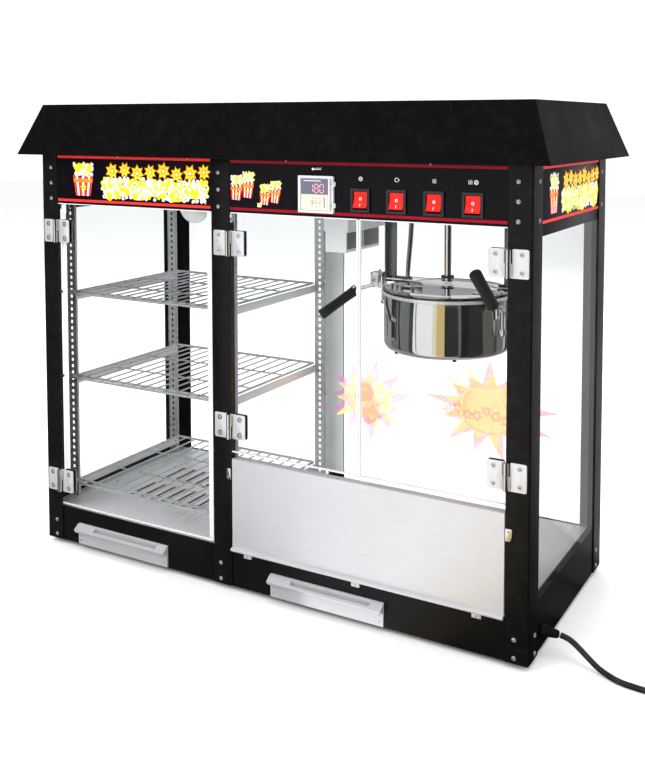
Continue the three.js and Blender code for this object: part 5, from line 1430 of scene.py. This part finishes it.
def hanger():
    part = Part(POLISHED, HANGER_STEEL)
    section = [(-5.5, -4.8), (5.5, -4.8), (5.5, -0.9), (4.1, -0.9), (4.1, 0.9), (5.5, 0.9), (5.5, 4.8),
               (-5.5, 4.8),
               (-5.5, 0.9), (-4.1, 0.9), (-4.1, -0.9), (-5.5, -0.9)]
    part.prism(scaled(section), k_frame(-110, 0, 0, (0, 1, 0), (0, 0, 1)), 220 * MM, 0.35 * MM, POLISHED)
    for z in (-4.8, 3.4):
        part.ring(scaled([(5.8, 0), (10, 0), (10, 1.1), (9.6, 1.4), (5.8, 1.4)]), k_up(0, 0, z), 40, POLISHED)
    top = (CEILING - 0.3 * MM - AXIS.translation.z) / MM
    for side in (-1, 1):
        def span(a, b):
            return sorted((side * a, side * b))
        (f0, f1), (w0, w1), (t0, t1) = span(93, 109.8), span(108, 110), span(93, 120)
        part.box(k(f0, 4, -4.8), k(f1, 6, top), 0.4 * MM, HANGER_STEEL)
        part.box(k(w0, -6, -4.8), k(w1, 6, top), 0.4 * MM, HANGER_STEEL)
        part.box(k(t0, -16, top - 2), k(t1, 6, top), 0.5 * MM, POLISHED)
        for x, y in ((114.5, -3), (101, -10.5)):
            down = k_frame(side * x, y, top - 2, (1, 0, 0), (0, -1, 0))
            part.prism(disc(3.4 * MM, 6), down, 2.6 * MM, 0.3 * MM, ZINC)
        part.lathe(scaled([(0, 0), (4, 0), (4, 8.6), (3.4, 9.2), (0, 9.2)]),
                   k_frame(side * 109, 0, 0, (0, side, 0), (0, 0, 1)), 24, CHROME)
        screw(part, k_frame(side * 101.5, 4, 6, (1, 0, 0), (0, 0, 1)), 2.4 * MM, CHROME)
        screw(part, k_frame(side * 101.5, 4, 22, (1, 0, 0), (0, 0, 1)), 2.4 * MM, CHROME)
    part.make("kettle_hanger_steel", "cabinet", ["kettle_hanger"])


def drive():
    part = Part(POLISHED)
    top = (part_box("drive_shaft")[1].z - AXIS.translation.z) / MM
    part.lathe(scaled([(0, -11), (4.4, -11), (5, -10.4), (5, -2.8), (5.6, -2.8), (5.6, top), (0, top)]),
               k_up(0, 0, 0),
               40, POLISHED)
    part.ring(scaled([(5.7, 8.4), (10.2, 8.4), (10.5, 8.7), (10.5, 11.6), (10.2, 12.1), (5.7, 12.1)]),
              k_up(0, 0, 0),
              40, GLOSS_BLACK)
    part.ring(scaled([(5.7, 5.1), (7.6, 5.1), (7.6, 8.3), (5.7, 8.3)]), k_up(0, 0, 0), 32, CHROME)
    part.make("drive_shaft_steel", "drive_shaft", ["drive_shaft"])
    plate = Part(POLISHED)
    plate.ring(scaled([(6.4, 0), (15, 0), (15, 1.2), (14, 1.6), (6.4, 1.6)]),
               k_frame(0, 0, (CEILING - AXIS.translation.z) / MM - 0.1, (1, 0, 0), (0, -1, 0)), 40, CHROME)
    plate.make("shaft_rosette", "cabinet")


RIM = -9.8  # rim of the pot under the tilt axis, millimetres
POT_LOW = RIM - 94
POT_FLOOR = POT_LOW + 18


def kettle_pot():
    """Spun pot: rolled rim, rounded foot, bridge over the rim, ears, rivets and terminal box."""
    r, inner, corner = 102.0, 100.4, 12.0
    foot = [(r - corner + corner * math.sin(t), POT_LOW + corner - corner * math.cos(t))
            for t in [i * math.pi / 20 for i in range(11)]]
    profile = [(0, POT_FLOOR - 1.6), (inner, POT_FLOOR - 1.6), (inner, POT_LOW + corner),
               (r - corner, POT_LOW + 1.6), *foot, (r, RIM - 0.6),
               (r - 0.4, RIM - 0.1), (inner + 0.3, RIM), (inner, RIM - 0.3), (inner, POT_FLOOR + 6),
               (inner - 1.8, POT_FLOOR + 1.8), (inner - 6, POT_FLOOR), (0, POT_FLOOR)]
    part = Part(POLISHED)
    part.lathe(scaled(profile), k_up(0, 0, 0), 128, POLISHED)
    part.ring(scaled([(101.7, RIM - 2.1), (103.1, RIM - 2.1), (103.4, RIM - 1.8), (103.4, RIM - 0.2),
                      (103, RIM + 0.6), (102.4, RIM + 0.9), (101.75, RIM + 0.6)]), k_up(0, 0,
                                                                                        0), 128, GLOSS_BLACK)
    part.ring(scaled([(101.7, RIM - 7.4), (102.8, RIM - 7.2), (103.4, RIM - 6.4), (103.4, RIM - 2.8),
                      (103, RIM - 2.2),
                      (101.7, RIM - 2.2)]), k_up(0, 0, 0), 128, HINGE_STEEL)
    for side in (-1, 1):
        notch = [(side * u, v) for u, v in arc(11.4, [math.pi / 2 - i * math.pi / 14 for i in range(15)])]
        strip_shape = [(0, 14), *notch, (0, -14), (side * 100.4, -14), (side * 101.3, 0), (side * 100.4, 14)]
        part.prism(scaled(strip_shape), k_up(0, 0, RIM + 0.3), 1.2 * MM, 0, POLISHED)
        for y in (-9, 9):
            screw(part, k_up(side * 94, y, RIM + 1.5), 2.2 * MM, CHROME, 0.9 * MM)
        outline = [*arc(10, [i * math.pi / 12 for i in range(13)]), (-10, -42), (10, -42)]
        x = 112.3 if side > 0 else -115.3
        part.prism(scaled(outline), k_frame(x, 0, 0, (0, 1, 0), (0, 0, 1)), 3 * MM, 0.5 * MM, CHROME)
        part.box(k(side * 101, -10, -42), k(side * 115.3, 10, -36), 0.6 * MM, CHROME)
        for y in (-5.5, 5.5):
            screw(part, k_frame(side * 115.3, y, -31, (0, side, 0), (0, 0, 1)), 2.2 * MM, CHROME)
    turn = AXIS @ Matrix.Rotation(math.radians(150), 4, "Z")
    case = turn @ Matrix.Translation((101 * MM, 0, -48 * MM)) @ frame_at((0, 0, 0), (0, 1, 0), (0, 0, 1))
    part.prism(rounded(24 * MM, 23.8 * MM, 2.5 * MM), case, 25 * MM, 0.8 * MM, ZINC)
    part.lathe(scaled([(0, 0), (7.2, 0), (7.2, 4), (6, 5), (6, 9), (0, 9)]),
               turn @ Matrix.Translation((114 * MM, 0, -36 * MM)), 6, ZINC)
    for deg in (-125, -60, 20, 95, 200):
        place = AXIS @ Matrix.Rotation(math.radians(deg), 4,
                                       "Z") @ Matrix.Translation((93 * MM, 0, (POT_LOW + 0.6) * MM))
        part.lathe(scaled([(0, 0), (3.2, 0), (3, 1.6), (1.8, 2.6), (0, 3)]),
                   place @ Matrix.Rotation(math.pi, 4, "X"),
                   16, GLOSS_BLACK)
    part.make("kettle_pot_steel", "kettle", ["kettle_pot"])


def lid(name, body, front):
    """Half a lid: flat mirror sheet with a rolled bead along its round edge and hinge knuckles."""
    sign = -1 if front else 1
    r, edge = 101.6, 14.3
    turn = math.asin(edge / r)
    turns = [turn + (math.pi - 2 * turn) * i / 48 for i in range(49)]
    part = Part(POLISHED)
    outline = [(u, sign * v) for u, v in arc(r, turns)]
    part.prism(scaled(outline), k_up(0, 0, RIM + 0.3), 1.2 * MM, 0.3 * MM, POLISHED)
    bead = [k(u, sign * v, RIM + 1.3) for u, v in arc(r - 1.6, turns)]
    part.tube(bead, 0.8 * MM, 10, POLISHED)
    for x in (-62, 62):
        part.tube([k(x - 11, sign * (edge + 1.6), RIM + 2.4), k(x + 11, sign * (edge + 1.6), RIM + 2.4)],
                  1.5 * MM, 12,
                  CHROME)
        part.box(k(x - 9, sign * (edge + 1.8), RIM + 1.45), k(x + 9, sign * (edge + 11), RIM + 2.2), 0.3 * MM,
                 CHROME)
        for dx in (-5.5, 5.5):
            screw(part, k_up(x + dx, sign * (edge + 7), RIM + 2.2), 1.5 * MM, CHROME, 0.6 * MM)
    part.make(name, body, ["kettle_lid_front" if front else "kettle_lid_rear"])


def handle_left():
    """Clamp block with its screw and stay, a short lever and a ribbed grip with a bright collar."""
    part = Part(CHROME)
    part.box(k(-135.6, -9, -17), k(-119.8, 9, 9), 1.6 * MM, CHROME)
    part.box(k(-120, -9, -17), k(-115.7, 9, -6.5), 1 * MM, CHROME)
    screw(part, k_frame(-127.5, -9, -4, (1, 0, 0), (0, 0, 1)), 4.4 * MM, ZINC)
    part.box(k(-134, -9.9, -14), k(-121, -9, 6), 0.4 * MM, SATIN)
    stay = [k(-121, -6, 9.2), k(-119.4, -6.5, 11.4), k(-116.8, -7, 13.2)]
    part.tube(stay, 1.8 * MM, 12, CHROME)
    acorn_nut(part, k_frame(-119.9, 0, 0, (0, 1, 0), (0, 0, 1)), 3.4 * MM)
    part.tube([k(-129.6, -6, -12), k(-144, -10.4, -16.8), k(-158, -14.6, -21.6), k(-166, -24, -29)], 3.5 * MM,
              16, CHROME)
    place, length = along(k(-157.4, -13.6, -20.8), k(-197.6, -64, -60))
    cap = 7 * MM
    part.lathe([(0, -1 * MM), (8.6 * MM, -1 * MM), (9.3 * MM, 0), (9.3 * MM, cap), (0, cap)], place, 32,
               CHROME)
    grip = [(0, cap), (8.6 * MM, cap)]
    ribs = 13
    step = (length - cap - 3 * MM) / ribs
    for i in range(ribs):
        start = cap + i * step
        radius = (8.9 - 0.7 * math.sin(math.pi * i / ribs)) * MM
        grip += [(radius, start + 0.1 * step), (radius, start + 0.7 * step),
                 (radius - 0.9 * MM, start + 0.8 * step),
                 (radius - 0.9 * MM, start + step)]
    grip += [(8.8 * MM, length - 2.6 * MM), (7.6 * MM, length - 0.6 * MM), (5 * MM, length), (0, length)]
    part.lathe(grip, place, 32, BLACK_PLASTIC)
    part.make("kettle_grip_left", "kettle", ["kettle_handle_left"])


def handle_right():
    """Bracket beside the pot's wall, bent stem, smooth grip, and the thin stay below."""
    turned = AXIS @ Matrix.Rotation(math.radians(-18), 4, "Z")

    def at(x, y, z):
        return turned @ Vector((x * MM, y * MM, z * MM))

    def outward(x, y, z):
        """A frame on the bracket whose third axis points away from the pot."""
        return turned @ frame_at((x * MM, y * MM, z * MM), (0, 1, 0), (0, 0, 1))
    part = Part(CHROME)
    part.prism(rounded(20 * MM, 28 * MM, 2 * MM), outward(103.7, 0, -30), 3.7 * MM, 0.8 * MM, CHROME)
    for y, z in ((-6.5, -39), (6.5, -39), (-6.5, -21)):
        screw(part, outward(107.4, y, z), 2.3 * MM, ZINC)
    part.tube([at(106.6, 0, -30), at(111.7, 0, -27), k(108.6, -41, -24), k(101.4, -57.5, -21)], 4.2 * MM, 16,
              CHROME)
    part.tube([at(110.7, 0, -28), at(110.7, 0, -62)], 2.4 * MM, 14, CHROME)
    part.prism(rounded(9 * MM, 9 * MM, 1 * MM), outward(105.4, 0, -63), 9.6 * MM, 0.6 * MM, CHROME)
    acorn_nut(part, turned @ frame_at((110.7 * MM, 0, -67 * MM), (1, 0, 0), (0, -1, 0)), 3 * MM)
    place, length = along(k(100, -60, -20), k(82, -92, 35))
    body = [(0, -1.5 * MM), (7.6 * MM, -1.5 * MM), (9.6 * MM, 0), (9.8 * MM, 4 * MM),
            (9.2 * MM, 0.5 * length),
            (9.9 * MM, length - 5 * MM), (9.6 * MM, length - 2 * MM), (8 * MM, length - 0.3 * MM),
            (5 * MM, length + 0.6 * MM), (0, length + 0.8 * MM)]
    part.lathe(body, place, 40, BLACK_PLASTIC)
    part.ring([(2.2 * MM, 0), (4.4 * MM, 0), (4.2 * MM, 0.5 * MM), (2.4 * MM, 0.5 * MM)],
              place @ Matrix.Translation((0, 0, length + 0.6 * MM)), 24, GLOSS_BLACK)
    part.make("kettle_grip_right", "kettle", ["kettle_handle_right"])


def conduit():
    """Armoured conduit: wound ribs along one bend, a nut at the ceiling."""
    low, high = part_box("heater_conduit")
    radius = 4.5 * MM
    start = Vector((high.x - radius, low.y + radius, CEILING + 5 * MM))
    end = Vector((low.x + radius, high.y - radius, low.z + 0.5 * MM))
    knots = [start, start + Vector((0, 0, -0.059)), end + Vector((0, 0, 0.06)), end]
    steps = 126
    points = []
    for i in range(steps + 1):
        t = i / steps
        shares = ((1 - t) ** 3, 3 * t * (1 - t) ** 2, 3 * t * t * (1 - t), t ** 3)
        points.append(sum((share * knot for share, knot in zip(shares, knots)), Vector()))
    part = Part(CHROME)
    part.tube(points, radius, 20, CHROME, lambda s: (1.0, 0.95, 0.76)[round(s * steps) % 3])
    armour = part.make("heater_conduit_armour", None, ["heater_conduit"])
    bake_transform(armour)
    nut = Part(ZINC)
    place = frame_at((start.x, start.y, CEILING - 0.2 * MM), (1, 0, 0), (0, -1, 0))
    nut.ring(scaled([(4.8, 0), (9, 0), (9, 1.6), (4.8, 1.6)]), place, 32, ZINC)
    nut.ring(scaled([(4.8, 1.6), (7.6, 1.6), (7.6, 7), (6.6, 8), (4.8, 8)]), place, 6, ZINC)
    nut.make("conduit_nut", "cabinet")


hanger()
drive()
kettle_pot()
lid("kettle_lid_front_steel", "lid_front", True)
lid("kettle_lid_rear_steel", "kettle", False)
handle_left()
handle_right()
conduit()
soften("agitator", 0.3 * MM)


# ---------------------------------------------------------------- floor and light
# What reflections see round the object, by direction in degrees from +X: cards, gaps and warm light.
SURROUNDINGS = [
    (-180, (0.012, 0.012, 0.012)),
    (-167, (0.17, 0.18, 0.17)),
    (-139, (0.04, 0.04, 0.06)),
    (-130, (1.0, 1.0, 1.0)),
    (-94, (0.85, 0.80, 0.62)),
    (-86, (0.72, 0.52, 0.20)),
    (-73, (0.012, 0.011, 0.012)),
    (-48, (0.14, 0.14, 0.145)),
    (-42, (0.012, 0.010, 0.007)),
    (-4, (0.095, 0.10, 0.09)),
    (20, (0.04, 0.04, 0.04)),
    (28, (0.15, 0.155, 0.15)),
    (46, (0.50, 0.49, 0.52)),
    (94, (0.36, 0.34, 0.37)),
    (150, (0.34, 0.33, 0.36)),
    (175, (0.012, 0.012, 0.012)),
]


LIGHTS = [  # name, place, target, width, height, watts
    ("key", (-1.7, -2.9, 2.5), (0, 0, 0.4), 1.8, 1.8, 70),
    ("fill", (2.9, -1.3, 1.5), (0.2, 0, 0.4), 1.2, 1.8, 34),
    ("top", (0.1, 0.2, 3.0), (0, 0, 0.4), 2.6, 2.0, 60),
    ("rear", (-1.4, 2.6, 1.6), (0, 0, 0.4), 1.8, 1.6, 30),
]


def surroundings(tree, vector):
    """The colour of SURROUNDINGS in a direction."""
    split = tree.nodes.new("ShaderNodeSeparateXYZ")
    angle = tree.nodes.new("ShaderNodeMath")
    angle.operation = "ARCTAN2"
    share = tree.nodes.new("ShaderNodeMapRange")
    share.inputs["From Min"].default_value = -math.pi
    share.inputs["From Max"].default_value = math.pi
    ramp = tree.nodes.new("ShaderNodeValToRGB")
    ramp.color_ramp.interpolation = "CONSTANT"
    stops = ramp.color_ramp.elements
    while len(stops) < len(SURROUNDINGS):
        stops.new(1.0)
    for stop, (degrees, colour) in zip(stops, SURROUNDINGS):
        stop.position = (degrees + 180) / 360
        stop.color = (*colour, 1)
    tree.links.new(vector, split.inputs[0])
    tree.links.new(split.outputs["Y"], angle.inputs[0])
    tree.links.new(split.outputs["X"], angle.inputs[1])
    tree.links.new(angle.outputs[0], share.inputs["Value"])
    tree.links.new(share.outputs["Result"], ramp.inputs["Fac"])
    return ramp.outputs["Color"], split.outputs["Z"]


def stage():
    """A pale floor. Reflections see the studio's surroundings in it."""
    m = Shader("pale_floor")
    cloud = m.noise(3, 4)
    m.set(colour=m.colours(cloud, (0.3, (0.86, 0.86, 0.86)), (0.7, (0.88, 0.88, 0.88))))
    m.set(rough=m.span(cloud, 0.55, 0.65), specular=0.2)
    about = m.node("ShaderNodeMapping")
    about.inputs["Location"].default_value = (-KETTLE_X, 0, 0)
    m.link(m.place, about.inputs["Vector"])
    seen = m.node("ShaderNodeEmission")
    m.link(surroundings(m.tree, about.outputs["Vector"])[0], seen.inputs["Color"])
    path = m.node("ShaderNodeLightPath")
    mix = m.node("ShaderNodeMixShader")
    m.link(path.outputs["Is Glossy Ray"], mix.inputs[0])
    m.link(m.bsdf.outputs[0], mix.inputs[1])
    m.link(seen.outputs[0], mix.inputs[2])
    m.link(mix.outputs[0], m.tree.nodes["Material Output"].inputs["Surface"])
    floor = bpy.data.meshes.new("floor")
    corners = [(x * FLOOR_HALF, y * FLOOR_HALF, 0) for x, y in ((-1, -1), (1, -1), (1, 1), (-1, 1))]
    floor.from_pydata(corners, [], [(0, 1, 2, 3)])
    floor.materials.append(m.material)
    piece = bpy.data.objects.new("floor", floor)
    bpy.context.scene.collection.objects.link(piece)


def area_light(name, place, target, width, height, power):
    data = bpy.data.lights.new(name, "AREA")
    data.shape = "RECTANGLE"
    data.size, data.size_y = width, height
    data.energy = power
    light = bpy.data.objects.new(name, data)
    light.location = place
    light.visible_glossy = False
    toward = Vector(target) - Vector(place)
    light.rotation_euler = toward.to_track_quat("-Z", "Y").to_euler()
    bpy.context.scene.collection.objects.link(light)


def world():
    """Even white all round, except that reflections see the surroundings, and grey overhead."""
    made = bpy.data.worlds.new("studio")
    bpy.context.scene.world = made
    made.use_nodes = True
    tree = made.node_tree
    white = tree.nodes["Background"]
    white.inputs["Color"].default_value = (1, 1, 1, 1)
    white.inputs["Strength"].default_value = WORLD_WHITE
    room = tree.nodes.new("ShaderNodeBackground")
    coords = tree.nodes.new("ShaderNodeTexCoord")
    colour, height = surroundings(tree, coords.outputs["Generated"])
    overhead = tree.nodes.new("ShaderNodeMapRange")
    overhead.inputs["From Min"].default_value = 0.35
    overhead.inputs["From Max"].default_value = 0.75
    blend = tree.nodes.new("ShaderNodeMix")
    blend.data_type = "RGBA"
    blend.inputs["B"].default_value = (0.4, 0.4, 0.42, 1)
    path = tree.nodes.new("ShaderNodeLightPath")
    mix = tree.nodes.new("ShaderNodeMixShader")
    tree.links.new(height, overhead.inputs["Value"])
    tree.links.new(overhead.outputs["Result"], blend.inputs["Factor"])
    tree.links.new(colour, blend.inputs["A"])
    tree.links.new(blend.outputs["Result"], room.inputs["Color"])
    tree.links.new(path.outputs["Is Glossy Ray"], mix.inputs[0])
    tree.links.new(white.outputs[0], mix.inputs[1])
    tree.links.new(room.outputs[0], mix.inputs[2])
    tree.links.new(mix.outputs[0], tree.nodes["World Output"].inputs["Surface"])


stage()
world()
for light in LIGHTS:
    area_light(*light)
scene = bpy.context.scene
scene.view_settings.view_transform = "Standard"
scene.cycles.max_bounces = 12
scene.cycles.transparent_max_bounces = 32
